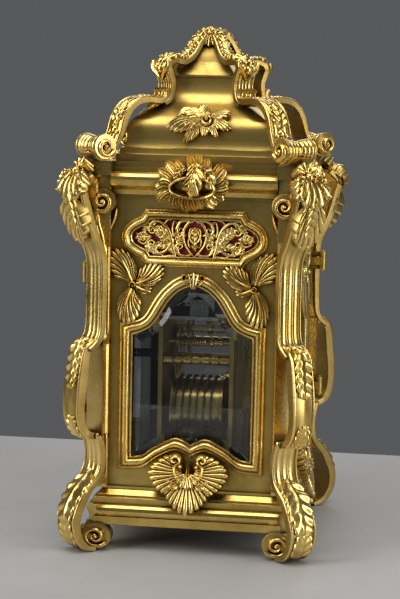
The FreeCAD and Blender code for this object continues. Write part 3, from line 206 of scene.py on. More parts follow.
LOBE_W = ([0, 0.12, 0.35, 0.62, 0.85, 0.96, 1], [0.42, 0.62, 0.9, 1.0, 0.72, 0.36, 0.04])
FAN_W = ([0, 0.3, 0.7, 0.9, 0.97, 1], [0.3, 0.55, 0.95, 0.95, 0.6, 0.08])
BAND_W = ([0, 0.03, 0.1, 0.9, 0.97, 1], [0.3, 0.8, 1.0, 1.0, 0.8, 0.3])
TAPER_W = ([0, 0.05, 0.5, 0.9, 1], [0.9, 1.0, 0.8, 0.5, 0.3])
SPEAR_W = ([0, 0.15, 0.4, 0.75, 1], [0.5, 0.8, 1.0, 0.6, 0.03])


def petal(M, F, P, w, h, base=-0.3, n=12, m=9, W=LOBE_W, H=None, groove=0.0, flutes=0, lift=0.0, curl=0.0, dish=0.0):
    """raised leaf-like stroke along the points P"""
    C = spl(P, n)
    T, N = normals2(C)
    t = np.linspace(0, 1, n)
    ww = w * np.interp(t, *W)
    hh = h * (np.interp(t, [0, 0.2, 0.65, 0.92, 1], [0.75, 1, 1, 0.75, 0.2]) if H is None else np.interp(t, *H))
    if callable(lift):
        lf = lift(t)
    else:
        lf = lift + curl * np.clip((t - 0.45) / 0.55, 0, 1) ** 2
    s = np.sin(np.linspace(-pi / 2, pi / 2, m))
    sh = np.sqrt(np.clip(1 - s * s, 0, 1))
    if groove:
        sh = sh * (1 - groove * np.exp(-(s / 0.3) ** 2))
    if flutes:
        sh = sh * (0.72 + 0.28 * np.cos(s * pi * flutes))
    if dish:
        sh = sh * (1 - dish * (1 - np.abs(s)))
    A = C[:, None, :] + N[:, None, :] * (s[None, :, None] * ww[:, None, None])
    top = F(A[..., 0], A[..., 1], lf[:, None] + hh[:, None] * sh[None, :])
    sb = np.array([0.92, 0.0, -0.92])
    B = C[:, None, :] + N[:, None, :] * (sb[None, :, None] * ww[:, None, None])
    bot = F(B[..., 0], B[..., 1], (lf + base)[:, None] + 0 * B[..., 0])
    P3 = np.concatenate([top, bot], 1)
    cav = np.concatenate([sh / max(1e-6, sh.max()), [0, 0, 0]])[None, :] * np.interp(t, [0, 0.15, 1], [0.55, 1, 1])[:, None]
    M.grid(P3, cav)


def leaf(M, F, P, env, nl=6, ang=52, w=None, h=1.5, base=-0.3, rib=0.9, bend=0.5, tip=1.0, lift=0.0, curl=0.0, t0=0.06, n=10, m=7, ribw=None, groove=0.25, sides=(1, -1), start=0.0, deep=0.19, vein=0.6):
    """acanthus leaf in one blade: swept lobes with notched edges, veins and a midrib. env(t) is the reach on each side"""
    k = nl * 10 + 1
    C = spl(P, k)
    T, N = normals2(C)
    t = np.linspace(0, 1, k)
    e = env if callable(env) else (lambda q, v=env: v * np.interp(q, [0, 0.25, 0.55, 0.85, 1], [0.6, 0.95, 1.0, 0.75, 0.45]))
    W = np.array([float(e(q)) for q in t]) * np.clip((1.03 - t) / 0.16, 0, 1) ** 0.5
    ph = t * nl
    lobe = 1 - np.abs(np.cos(pi * ph)) ** 5
    tipy = np.abs(np.sin(pi * ph)) ** 0.55
    s = np.linspace(-1, 1, 23)
    a = np.abs(s)
    We = W[:, None] * (1 - deep * 1.15 * (1 - tipy)[:, None] * a[None, :] ** 2)
    sweep = 0.86 / max(0.5, math.tan(rad(ang)))
    A = C[:, None, :] + N[:, None, :] * (s[None, :] * We)[..., None] + T[:, None, :] * (a[None, :] ** 1.3 * W[:, None] * sweep)[..., None]
    grow = np.clip(a * 2.2, 0, 1)[None, :]
    rel = 1 - vein * (1 - lobe)[:, None] * grow + 0.26 * np.exp(-(((ph % 1.0) - 0.5) / 0.17) ** 2)[:, None] * grow
    edge = np.clip((1.03 - a) / 0.16, 0, 1)[None, :] ** 0.5
    dish = (0.60 + 0.34 * a ** 1.6)[None, :]
    if callable(lift):
        lf = np.array([float(lift(q)) for q in t]) + curl * np.clip(t - 0.4, 0, 1) ** 2 * 2.2
    else:
        lf = lift + curl * np.clip(t - 0.4, 0, 1) ** 2 * 2.2
    hh = h * np.interp(t, [0, 0.1, 0.8, 1], [0.6, 1, 0.9, 0.45])
    mid = np.exp(-(s / (0.10 if ribw is None else 0.13)) ** 2)[None, :] * 0.42 * (0.4 + rib)
    Z = lf[:, None] + hh[:, None] * (rel * edge * dish + mid)
    top = F(A[..., 0], A[..., 1], Z)
    sb = [22, 11, 0]
    bot = F(A[:, sb, 0], A[:, sb, 1], (lf[:, None] + base) + 0 * A[:, sb, 0])
    cav = np.concatenate([np.clip(rel * edge * 0.95 + mid, 0, 1), np.zeros((k, 3))], 1)
    M.grid(np.concatenate([top[:, ::1], bot], 1), cav)


def fan(M, F, cx, cy, a0, a1, R, nr, h, base=-0.5, r0=2.0, lift=0.0, curl=0.0, sx=1.0, deep=0.10, rows=11, swirl=0.0, side=1.0):
    """ribbed shell about (cx, cy) between two angles; R is the reach, a number or a function of 0..1"""
    k = nr * 9 + 1
    q = np.linspace(0, 1, k)
    th = rad(a0) + (rad(a1) - rad(a0)) * q
    Rq = np.array([float(R(v)) for v in q]) if callable(R) else np.full(k, float(R))
    lob = np.abs(np.sin(pi * q * nr)) ** 0.6
    Re = Rq * (1 - deep * (1 - lob))
    u = np.linspace(1.0, 0.0, rows)
    rr = r0 + (Re[:, None] - r0) * u[None, :]
    tt = th[:, None] + swirl * u[None, :] ** 2
    X = cx + side * sx * rr * np.cos(tt)
    Y = cy + rr * np.sin(tt)
    rel = (1 - 0.5 * (1 - lob)[:, None] * np.clip(u * 3, 0.25, 1)[None, :]) * np.interp(u, [0, 0.12, 0.9, 1], [0.5, 0.9, 1.0, 0.55])[None, :]
    Z = lift + h * rel + curl * u[None, :] ** 2
    top = F(X, Y, Z)
    ub = [rows - 1, rows // 2, 0]
    bot = F(X[:, ub], Y[:, ub], base + 0 * X[:, ub])
    cav = np.concatenate([np.clip(rel, 0, 1) ** 1.5, np.zeros((k, 3))], 1)
    M.grid(np.concatenate([top, bot], 1), cav)


def curl_pts(P, side, r, turns=1.25, n=14, end=0.22):
    """points that roll up at the end of P, to the left (side 1) or right (-1)"""
    P = [np.asarray(p, float) for p in P]
    d = P[-1] - P[-2]
    d /= np.linalg.norm(d)
    nrm = np.array([-d[1], d[0]]) * side
    c = P[-1] + nrm * r
    a0 = math.atan2(-nrm[1], -nrm[0])
    out = list(P)
    for i in range(1, n + 1):
        q = i / n
        rr = r * (1 - (1 - end) * q)
        a = a0 + side * 2 * pi * turns * q
        out.append(c + rr * np.array([math.cos(a), math.sin(a)]))
    return out


def stroke(M, F, P, w, h, base=-0.3, n=30, m=7, W=BAND_W, lift=0.0, groove=0.0, H=None):
    petal(M, F, P, w, h, base, n=n, m=m, W=W, H=H or ([0, 1], [1, 1]), lift=lift, groove=groove)


def bead(M, F, a, b, r, h, base=-0.3, n=12, ay=1.0):
    ang = np.linspace(0, 2 * pi, n, endpoint=False)
    rows, cav = [], []
    for q, z in ((1.0, base), (1.0, 0.0), (0.93, 0.38), (0.7, 0.75), (0.36, 0.95), (0.04, 1.0)):
        zz = base if q == 1.0 and z == base else z * h
        rows.append(F(a + r * q * np.cos(ang), b + r * ay * q * np.sin(ang), np.full(n, zz)))
        cav.append(np.full(n, max(0.0, z)))
    M.grid(np.array(rows), np.array(cav))


def volute(M, F, a, b, R, turns, w, h, side=1, a0=0.0, ax=1.0, az=1.0, base=-0.4, end=0.16, n=64, eye=1.0, disc=None, h_in=None):
    """spiral rim with an eye; disc is the height of the plate that fills it"""
    q = np.linspace(0, 1, n)
    rr = (R - w) * (1 - (1 - end) * q ** 0.85)
    th = a0 + side * 2 * pi * turns * q
    C = np.stack([a + ax * rr * np.cos(th), b + az * rr * np.sin(th)], 1)
    T, N = normals2(C)
    ww = w * (1 - 0.45 * q)
    hh = np.interp(q, [0, 0.1, 1], [0.85, 1, 1]) * h
    if h_in is not None:
        hh = hh + (h_in - h) * q
    s = np.sin(np.linspace(-pi / 2, pi / 2, 9))
    sh = np.sqrt(np.clip(1 - s * s, 0, 1)) ** 0.8
    A = C[:, None, :] + N[:, None, :] * (s[None, :, None] * ww[:, None, None])
    top = F(A[..., 0], A[..., 1], hh[:, None] * sh[None, :])
    B = C[:, None, :] + N[:, None, :] * (np.array([0.95, 0, -0.95])[None, :, None] * ww[:, None, None])
    bot = F(B[..., 0], B[..., 1], np.full(B.shape[:2], base))
    M.grid(np.concatenate([top, bot], 1), np.concatenate([sh, [0, 0, 0]])[None, :] + 0 * q[:, None])
    if eye:
        bead(M, F, a, b, R * 0.2 * eye * ax, (h_in or h) * 1.08, base, n=14, ay=az / ax)
    if disc is not None:
        k = np.linspace(0, 2 * pi, 40, endpoint=False)
        rows, cav = [], []
        for f, z in ((0.985, base - disc[1]), (1.0, disc[0] - 0.5), (0.985, disc[0] - 0.15), (0.95, disc[0]), (0.5, disc[0] - 0.3), (0.05, disc[0] - 0.2)):
            rows.append(F(a + R * ax * f * np.cos(k), b + R * az * f * np.sin(k), np.full(40, z)))
            # relief held at 0.15 so the gilt paints the disc in painted shade
            cav.append(np.full(40, 0.15))
        M.grid(np.array(rows), np.array(cav))


def band(M, P, hw, rel, th=4.0, put=put_local, n=90, m=41, flip=1, lo=0.0, thin=None):
    """strip swept along (r, z) with relief rel(t, s) over its width and a plain back"""
    C = spl(P, n)
    T, N = normals2(C)
    N = N * flip
    t = np.linspace(0, 1, n)
    w = np.interp(t, *hw) if isinstance(hw, tuple) else np.full(n, hw)
    s = np.linspace(-1, 1, m)
    R = rel(t[:, None], s[None, :]) + 0 * t[:, None]
    top = put(C[:, 0, None] + N[:, 0, None] * R, s[None, :] * w[:, None] + 0 * R, C[:, 1, None] + N[:, 1, None] * R)
    thk = np.interp(t, *th) if isinstance(th, tuple) else np.full(n, th)
    bs = np.array([1.0, 0.96, 0.0, -0.96, -1.0])
    bd = np.array([0.12, 1.0, 1.0, 1.0, 0.12])
    D = -thk[:, None] * bd[None, :]
    bot = put(C[:, 0, None] + N[:, 0, None] * D, bs[None, :] * w[:, None] + 0 * D, C[:, 1, None] + N[:, 1, None] * D)
    lo_, hi_ = R.min(), R.max()
    cav = np.concatenate([(R - lo_) / max(1e-6, hi_ - lo_), np.zeros((n, 5))], 1)
    M.grid(np.concatenate([top, bot], 1), cav)
    return C, N


def bump(s, c, w):
    return np.exp(-((s - c) / w) ** 2)


def reeds(s, n, lim):
    """n half-round reeds over |s| < lim"""
    q = (s + lim) / (2 * lim) * n
    f = np.abs(q - np.floor(q) - 0.5) * 2
    return np.where(np.abs(s) < lim, np.sqrt(np.clip(1 - f ** 2.2, 0, 1)), 0.0)


def rims(s, h=1.0, at=0.9, w=0.085):
    return h * np.clip(1 - (np.abs(np.abs(s) - at) / w) ** 2.4, 0, 1) ** 0.6


def tube(M, P, r, n=60, m=10, closed=False, cav=0.8):
    """round rod along 3-D points"""
    C = spl(P, n)
    T = np.gradient(C, axis=0)
    T /= np.linalg.norm(T, axis=1)[:, None]
    up = np.array([0.13, 0.21, 0.97])
    A = np.cross(T, up)
    A /= np.linalg.norm(A, axis=1)[:, None]
    B = np.cross(T, A)
    k = np.linspace(0, 2 * pi, m, endpoint=False)
    rr = (np.interp(np.linspace(0, 1, n), *r) if isinstance(r, tuple) else np.full(n, r))[:, None, None]
    M.grid(C[:, None, :] + rr * (A[:, None, :] * np.cos(k)[None, :, None] + B[:, None, :] * np.sin(k)[None, :, None]), np.full((n, m), cav))


def lathe(M, prof, centre, axis=1, n=40, cav=0.7):
    """turned shape: prof is (along axis, radius) in order from one end to the other"""
    k = np.linspace(0, 2 * pi, n, endpoint=False)
    rows = []
    for y, r in prof:
        r = max(r, 0.02)
        p = np.zeros((n, 3))
        i, j = [(1, 2), (0, 2), (0, 1)][axis]
        p[:, axis] = centre[axis] + y
        p[:, i] = centre[i] + r * np.cos(k)
        p[:, j] = centre[j] + r * np.sin(k)
        rows.append(p)
    M.grid(np.array(rows), np.full((len(rows), n), cav))


# ------------------------------------------------------------------ outlines shared with the CAD
def half_to_full(h):
    return h + [[(-x, z) for x, z in reversed(sg)] for sg in reversed(h)]


def win(d=0.0, kx=1.0, corner=34.5, foot=53.7, sh=124.5, apex=153.3):
    w = (corner + d) * kx
    f = foot - d
    a = [[(0, 62.0 - d), (4 * kx, 64.3 - d), (10 * kx, 65.4 - d), (20 * kx, 60.5 - d), (28 * kx, 55.0 - d * 1.02), (w, f)],
         [(w, f), (w, sh + d * 0.9)],
         [(w, sh + d * 0.9), ((30 + d * 0.35) * kx, 126.2 + d * 0.93), ((25 + d * 0.5) * kx, 128.8 + d * 0.87), ((21 + d * 0.75) * kx, 133.2 + d * 0.66),
          ((17.2 + d * 0.85) * kx, 139.6 + d * 0.53), ((13.4 + d * 0.78) * kx, 145.4 + d * 0.62), ((8.4 + d * 0.5) * kx, 150.2 + d * 0.87),
          ((3.4 + d * 0.2) * kx, 152.8 + d * 0.98), (0, apex + d)]]
    return half_to_full(a)


def fretline(d=0.0):
    zc = 180.7
    nose = [(25.6 + d * 0.45, 10.6 + d), (27.4 + d * 0.6, 7.6 + d * 0.8), (30.6 + d * 0.55, 5.9 + d * 0.85), (34.1 + d * 0.7, 3.9 + d * 0.7), (35.6 + d * 0.95, 2.1 + d * 0.35), (36 + d, 0)]
    c = nose[0][0]
    top = [[(0, zc - 10.6 - d), (c, zc - 10.6 - d)],
           [(a_, zc - b_) for a_, b_ in nose] + [(a_, zc + b_) for a_, b_ in nose[-2::-1]],
           [(c, zc + 10.6 + d), (0, zc + 10.6 + d)]]
    return half_to_full(top)


def outline(segs, per=26):
    out = []
    for sg in segs:
        n = per if len(sg) > 2 else 8
        out.append(spl(sg, n + 1)[:-1])
    return np.vstack(out)


def ring(M, fn, prof, F, per=26):
    """moulding round an outline: prof is (offset, height) going round its section"""
    rows, cav = [], []
    hs = [h for _, h in prof]
    for d, h in prof:
        o = outline(fn(d), per)
        rows.append(F(o[:, 0], o[:, 1], np.full(len(o), h)))
        cav.append(np.full(len(o), (h - min(hs)) / (max(hs) - min(hs) + 1e-6)))
    M.grid(np.array(rows), np.array(cav), cu=True, cv=True, caps=False)


def ellipse_fn(cy, cz, ay, az, n=48):
    k = np.linspace(0, 2 * pi, n, endpoint=False)
    return lambda d: np.stack([cy + (ay + d) * np.cos(k), cz + (az + d) * np.sin(k)], 1)


# ------------------------------------------------------------------ materials
def mat_new(name):
    m = bpy.data.materials.new(name)
    m.use_nodes = True
    nt = m.node_tree
    nt.nodes.clear()
    out = nt.nodes.new("ShaderNodeOutputMaterial")
    b = nt.nodes.new("ShaderNodeBsdfPrincipled")
    nt.links.new(b.outputs[0], out.inputs[0])
    return m, nt, b, out


def noise(nt, scale, detail=4.0, rough=0.55, vec=None, dist=0.0):
    n = nt.nodes.new("ShaderNodeTexNoise")
    n.inputs["Scale"].default_value = scale
    n.inputs["Detail"].default_value = detail
    n.inputs["Roughness"].default_value = rough
    n.inputs["Distortion"].default_value = dist
    if vec is not None:
        nt.links.new(vec, n.inputs["Vector"])
    return n


def coords(nt, scale=(1, 1, 1)):
    tc = nt.nodes.new("ShaderNodeTexCoord")
    mp = nt.nodes.new("ShaderNodeMapping")
    mp.inputs["Scale"].default_value = scale
    nt.links.new(tc.outputs["Object"], mp.inputs["Vector"])
    return mp.outputs[0]


def ramp(nt, fac, stops):
    r = nt.nodes.new("ShaderNodeValToRGB")
    el = r.color_ramp.elements
    while len(el) > 1:
        el.remove(el[-1])
    el[0].position = stops[0][0]
    el[0].color = (*stops[0][1], 1)
    for p, c in stops[1:]:
        e = el.new(p)
        e.color = (*c, 1)
    nt.links.new(fac, r.inputs[0])
    return r.outputs[0]


def mapr(nt, fac, a, b, c, d, clamp=True):
    r = nt.nodes.new("ShaderNodeMapRange")
    r.clamp = clamp
    for k, v in zip(("From Min", "From Max", "To Min", "To Max"), (a, b, c, d)):
        r.inputs[k].default_value = v
    nt.links.new(fac, r.inputs["Value"])
    return r.outputs[0]


def mathn(nt, op, a, b=None, clamp=False):
    r = nt.nodes.new("ShaderNodeMath")
    r.operation = op
    r.use_clamp = clamp
    for k, v in enumerate((a, b)):
        if v is None:
            continue
        if isinstance(v, (int, float)):
            r.inputs[k].default_value = v
        else:
            nt.links.new(v, r.inputs[k])
    return r.outputs[0]


def mixc(nt, fac, a, b):
    r = nt.nodes.new("ShaderNodeMix")
    r.data_type = "RGBA"
    for s, v in ((r.inputs[0], fac), (r.inputs[6], a), (r.inputs[7], b)):
        if isinstance(v, (int, float)):
            s.default_value = v
        elif isinstance(v, tuple):
            s.default_value = (*v, 1)
        else:
            nt.links.new(v, s)
    return r.outputs[2]


def bumpn(nt, h, strength, dist, prev=None):
    b = nt.nodes.new("ShaderNodeBump")
    b.inputs["Strength"].default_value = strength
    b.inputs["Distance"].default_value = dist
    nt.links.new(h, b.inputs["Height"])
    if prev is not None:
        nt.links.new(prev, b.inputs["Normal"])
    return b.outputs[0]


def ao(nt, dist, samples=6):
    a = nt.nodes.new("ShaderNodeAmbientOcclusion")
    a.samples = samples
    a.inputs["Distance"].default_value = dist
    return a.outputs["AO"]


def metal(name, light, mid, dark, crevice_shade, rough=(0.2, 0.36), big=45.0, fine=420.0, relief=True, aod=0.004, bump_h=0.00012, bs=0.25, grain=None, brush=None, crevice_shade_at=(0.25, 0.85)):
    """gilt or brass: tone drifts over the surface; hollows and low relief are painted darker as painted shade (AO node
    and relief attribute), so the ridges stand out bright
    """
    m, nt, b, out = mat_new(name)
    v = coords(nt)
    n1 = noise(nt, big, 5.0, 0.6, v, 0.4)
    n2 = noise(nt, fine, 5.0, 0.65, v)
    tone = ramp(nt, n1.outputs["Fac"], [(0.3, dark), (0.5, mid), (0.68, light)])
    spot = mapr(nt, n2.outputs["Fac"], 0.35, 0.72, 0.0, 0.45)
    col = mixc(nt, spot, tone, mid)
    # painted shade: the AO node darkens hollows and creases toward the crevice_shade colour
    occ = mapr(nt, ao(nt, aod), crevice_shade_at[0], crevice_shade_at[1], 1.0, 0.0)
    # painted shade on the low parts of each casting, read from the relief attribute
    if relief:
        at = nt.nodes.new("ShaderNodeAttribute")
        at.attribute_name = "relief"
        low = mapr(nt, at.outputs["Fac"], 0.0, 0.55, 0.62, 0.0)
        occ = mathn(nt, "MAXIMUM", occ, low)
    occ = mathn(nt, "MULTIPLY", occ, mapr(nt, n2.outputs["Fac"], 0.2, 0.8, 0.75, 1.1), True)
    col = mixc(nt, occ, col, crevice_shade)
    nt.links.new(col, b.inputs["Base Color"])
    b.inputs["Metallic"].default_value = 1.0
    r0 = mapr(nt, n1.outputs["Fac"], 0.25, 0.75, rough[0], rough[1])
    r1 = mathn(nt, "ADD", r0, mapr(nt, n2.outputs["Fac"], 0.3, 0.8, -0.03, 0.07))
    r2 = mathn(nt, "ADD", r1, mathn(nt, "MULTIPLY", occ, 0.22), True)
    nt.links.new(r2, b.inputs["Roughness"])
    nb = bumpn(nt, n2.outputs["Fac"], bs, bump_h)
    if grain:
        g = noise(nt, grain, 3.0, 0.6, v)
        nb = bumpn(nt, g.outputs["Fac"], 0.35, 0.00008, nb)
    if brush:
        vb = coords(nt, brush[0])
        g = noise(nt, brush[1], 3.0, 0.7, vb)
        nb = bumpn(nt, g.outputs["Fac"], brush[2], 0.00006, nb)
    nt.links.new(nb, b.inputs["Normal"])
    return m, nt, b


GOLD = dict(light=(1.0, 0.77, 0.30), mid=(0.92, 0.66, 0.21), dark=(0.70, 0.47, 0.12), crevice_shade=(0.10, 0.055, 0.010))
gilt, _, _ = metal("gilt_mounts", rough=(0.18, 0.31), grain=2600.0, **GOLD)
burn, _, _ = metal("gilt_burnished", light=(1.0, 0.75, 0.28), mid=(0.9, 0.64, 0.20), dark=(0.76, 0.50, 0.13), crevice_shade=(0.16, 0.08, 0.018), rough=(0.13, 0.24), big=30.0, fine=260.0, bs=0.12, crevice_shade_at=(0.2, 0.75))


def panel_metal(name, light, mid, dark, rough, inside=True):
    """satin gilt sheet: fine upright brushing, mottled toning, painted shade in its corners, and painted near black
    inside the case for the shade there
    """
    m, nt, b, out = mat_new(name)
    v = coords(nt)
    n1 = noise(nt, 16.0, 6.0, 0.62, v, 0.8)
    n2 = noise(nt, 130.0, 6.0, 0.7, v, 0.3)
    n3 = noise(nt, 1900.0, 3.0, 0.6, v)
    t = mathn(nt, "ADD", mathn(nt, "MULTIPLY", n1.outputs["Fac"], 0.6), mathn(nt, "MULTIPLY", n2.outputs["Fac"], 0.4))
    col = ramp(nt, t, [(0.34, dark), (0.5, mid), (0.64, light)])
    speck = mapr(nt, n3.outputs["Fac"], 0.6, 0.75, 0.0, 0.35)
    col = mixc(nt, speck, col, dark)
    # painted shade: the AO node darkens corners and recesses of the sheet
    occ = mapr(nt, ao(nt, 0.007), 0.3, 0.95, 1.0, 0.0)
    col = mixc(nt, occ, col, (0.11, 0.062, 0.016))
    # painted shade: inside the case box the sheet is painted near black
    if inside:
        sx = nt.nodes.new("ShaderNodeSeparateXYZ")
        nt.links.new(v, sx.inputs[0])
        ix = mathn(nt, "LESS_THAN", mathn(nt, "ABSOLUTE", sx.outputs[0]), 0.0586)
        iy = mathn(nt, "LESS_THAN", mathn(nt, "ABSOLUTE", sx.outputs[1]), 0.0446)
        iz = mathn(nt, "LESS_THAN", sx.outputs[2], 0.2225)
        inside_shade = mathn(nt, "MULTIPLY", mathn(nt, "MULTIPLY", ix, iy), iz)
        col = mixc(nt, mathn(nt, "MULTIPLY", inside_shade, 0.93), col, (0.035, 0.024, 0.012))
    nt.links.new(col, b.inputs["Base Color"])
    b.inputs["Metallic"].default_value = 1.0
    r = mathn(nt, "ADD", mapr(nt, t, 0.35, 0.65, rough[1], rough[0]), mathn(nt, "MULTIPLY", occ, 0.25), True)
    nt.links.new(r, b.inputs["Roughness"])
    vb = coords(nt, (1, 1, 0.06))
    g = noise(nt, 1500.0, 3.0, 0.7, vb)
    nb = bumpn(nt, g.outputs["Fac"], 0.22, 0.00005)
    nb = bumpn(nt, n2.outputs["Fac"], 0.18, 0.0002, nb)
    nt.links.new(nb, b.inputs["Normal"])
    return m


satin = panel_metal("gilt_satin_panel", (0.80, 0.585, 0.19), (0.62, 0.44, 0.12), (0.42, 0.285, 0.07), (0.26, 0.42))
moulded = panel_metal("gilt_satin_moulding", (0.90, 0.66, 0.21), (0.74, 0.52, 0.145), (0.52, 0.345, 0.085), (0.18, 0.34))


def turned_brass(name, base=(0.83, 0.60, 0.22), rough=(0.16, 0.3), axis=1, lines=900.0):
    """machined brass with fine turning marks"""
    m, nt, b, out = mat_new(name)
    v = coords(nt)
    n1 = noise(nt, 70.0, 4.0, 0.6, v)
    sc = [0.02, 0.02, 0.02]
    sc[axis] = 1.0
    g = noise(nt, lines * 2.2, 2.0, 0.6, coords(nt, tuple(sc)))
    col = ramp(nt, n1.outputs["Fac"], [(0.3, tuple(0.62 * c for c in base)), (0.55, base), (0.75, tuple(min(1, 1.12 * c) for c in base))])
    # painted shade: the AO node darkens creases and gaps between parts
    occ = mapr(nt, ao(nt, 0.003), 0.3, 0.9, 1.0, 0.0)
    col = mixc(nt, occ, col, (0.08, 0.045, 0.012))
    nt.links.new(col, b.inputs["Base Color"])
    b.inputs["Metallic"].default_value = 1.0
    nt.links.new(mapr(nt, g.outputs["Fac"], 0.3, 0.7, rough[0], rough[1]), b.inputs["Roughness"])
    nt.links.new(bumpn(nt, g.outputs["Fac"], 0.3, 0.00005), b.inputs["Normal"])
    return m


brass_y = turned_brass("brass_turned", (0.95, 0.70, 0.27))
# plate brass, grained and rougher; its darker tone is painted shade for the dim inside of the case
plate_brass_shaded = turned_brass("brass_grained_shaded", (0.62, 0.44, 0.15), (0.3, 0.4), axis=2, lines=2400.0)


def steel_mat(name, base, rough, tint=None):
    m, nt, b, out = mat_new(name)
    v = coords(nt)
    n1 = noise(nt, 90.0, 4.0, 0.6, v)
    n2 = noise(nt, 1400.0, 3.0, 0.6, v)
    col = ramp(nt, n1.outputs["Fac"], [(0.3, tuple(0.7 * c for c in base)), (0.6, base), (0.8, tint or base)])
    # painted shade: the AO node darkens creases and gaps between parts
    occ = mapr(nt, ao(nt, 0.002), 0.3, 0.9, 0.85, 0.0)
    nt.links.new(mixc(nt, occ, col, (0.02, 0.018, 0.016)), b.inputs["Base Color"])
    b.inputs["Metallic"].default_value = 1.0
    nt.links.new(mapr(nt, n2.outputs["Fac"], 0.3, 0.7, rough[0], rough[1]), b.inputs["Roughness"])
    nt.links.new(bumpn(nt, n2.outputs["Fac"], 0.15, 0.00005), b.inputs["Normal"])
    return m


steel = steel_mat("steel_polished", (0.62, 0.62, 0.60), (0.14, 0.3))
dark_steel = steel_mat("steel_dark", (0.20, 0.19, 0.18), (0.28, 0.45))
blued = steel_mat("steel_blued", (0.03, 0.055, 0.20), (0.16, 0.28), (0.07, 0.05, 0.16))


def wood_mat():
    m, nt, b, out = mat_new("wood_grain_dark_shade")
    v = coords(nt, (6, 60, 60))
    n = noise(nt, 9.0, 6.0, 0.65, v, 1.2)
    # wood grain; the tones are kept near black as painted shade for the inside of the case
    nt.links.new(ramp(nt, n.outputs["Fac"], [(0.3, (0.018, 0.010, 0.006)), (0.55, (0.05, 0.026, 0.014)), (0.75, (0.09, 0.048, 0.024))]), b.inputs["Base Color"])
    b.inputs["Roughness"].default_value = 0.55
    nt.links.new(bumpn(nt, n.outputs["Fac"], 0.3, 0.0002), b.inputs["Normal"])
    return m


def cloth_mat():
    """plain-woven silk behind the frets"""
    m, nt, b, out = mat_new("silk_red")
    v = coords(nt)
    w1 = nt.nodes.new("ShaderNodeTexWave")
    w1.wave_type, w1.bands_direction = "BANDS", "Y"
    w1.inputs["Scale"].default_value = 620.0
    w2 = nt.nodes.new("ShaderNodeTexWave")
    w2.wave_type, w2.bands_direction = "BANDS", "Z"
    w2.inputs["Scale"].default_value = 620.0
    for w in (w1, w2):
        w.inputs["Distortion"].default_value = 1.2
        w.inputs["Detail"].default_value = 1.0
        nt.links.new(v, w.inputs["Vector"])
    k = mathn(nt, "MULTIPLY", w1.outputs["Fac"], w2.outputs["Fac"])
    n = noise(nt, 70.0, 4.0, 0.6, v)
    col = mixc(nt, k, (0.34, 0.022, 0.040), (0.74, 0.075, 0.105))
    col = mixc(nt, mapr(nt, n.outputs["Fac"], 0.3, 0.75, 0.0, 0.5), col, (0.07, 0.006, 0.014))
    nt.links.new(col, b.inputs["Base Color"])
    b.inputs["Roughness"].default_value = 0.8
    b.inputs["Sheen Weight"].default_value = 0.35
    b.inputs["Sheen Roughness"].default_value = 0.4
    nt.links.new(bumpn(nt, k, 0.5, 0.00012), b.inputs["Normal"])
    return m


def glass_mat():
    m, nt, b, out = mat_new("glass_bevelled")
    b.inputs["Transmission Weight"].default_value = 1.0
    b.inputs["IOR"].default_value = 1.5
    b.inputs["Specular IOR Level"].default_value = 0.3
    v = coords(nt)
    n = noise(nt, 240.0, 4.0, 0.6, v)
    nt.links.new(mapr(nt, n.outputs["Fac"], 0.55, 0.85, 0.0, 0.035), b.inputs["Roughness"])
    n2 = noise(nt, 22.0, 2.0, 0.5, v)
    # grey-green tint, partly the glass's own and partly painted shade that darkens the case interior seen through it
    nt.links.new(mixc(nt, n2.outputs["Fac"], (0.66, 0.69, 0.68), (0.73, 0.76, 0.75)), b.inputs["Base Color"])
    tr = nt.nodes.new("ShaderNodeBsdfTransparent")
    tr.inputs[0].default_value = (0.88, 0.92, 0.9, 1)
    lp = nt.nodes.new("ShaderNodeLightPath")
    mx = nt.nodes.new("ShaderNodeMixShader")
    nt.links.new(lp.outputs["Is Shadow Ray"], mx.inputs[0])
    nt.links.new(b.outputs[0], mx.inputs[1])
    nt.links.new(tr.outputs[0], mx.inputs[2])
    nt.links.new(mx.outputs[0], out.inputs[0])
    return m


def silver_mat():
    """silvered dial: matt, very fine circular grain"""
    m, nt, b, out = mat_new("dial_silvered")
    v = coords(nt)
    n = noise(nt, 55.0, 5.0, 0.6, v)
    g = noise(nt, 1700.0, 3.0, 0.6, v)
    nt.links.new(ramp(nt, n.outputs["Fac"], [(0.3, (0.58, 0.56, 0.50)), (0.55, (0.72, 0.71, 0.66)), (0.8, (0.80, 0.79, 0.75))]), b.inputs["Base Color"])
    b.inputs["Metallic"].default_value = 0.85
    nt.links.new(mapr(nt, g.outputs["Fac"], 0.3, 0.7, 0.34, 0.5), b.inputs["Roughness"])
    nt.links.new(bumpn(nt, g.outputs["Fac"], 0.3, 0.00004), b.inputs["Normal"])
    return m


def wax_mat():
    m, nt, b, out = mat_new("engraving_wax")
    v = coords(nt)
    n = noise(nt, 900.0, 4.0, 0.6, v)
    nt.links.new(ramp(nt, n.outputs["Fac"], [(0.3, (0.006, 0.005, 0.004)), (0.7, (0.03, 0.025, 0.018))]), b.inputs["Base Color"])
    b.inputs["Roughness"].default_value = 0.6
    nt.links.new(bumpn(nt, n.outputs["Fac"], 0.3, 0.00005), b.inputs["Normal"])
    return m


wood, silk, glass, silver, wax = wood_mat(), cloth_mat(), glass_mat(), silver_mat(), wax_mat()


def finish_node(name, mat):
    ob = NODES[name]
    if not ob.material_slots:
        ob.data.materials.append(mat)
    for s in ob.material_slots:
        s.material = mat


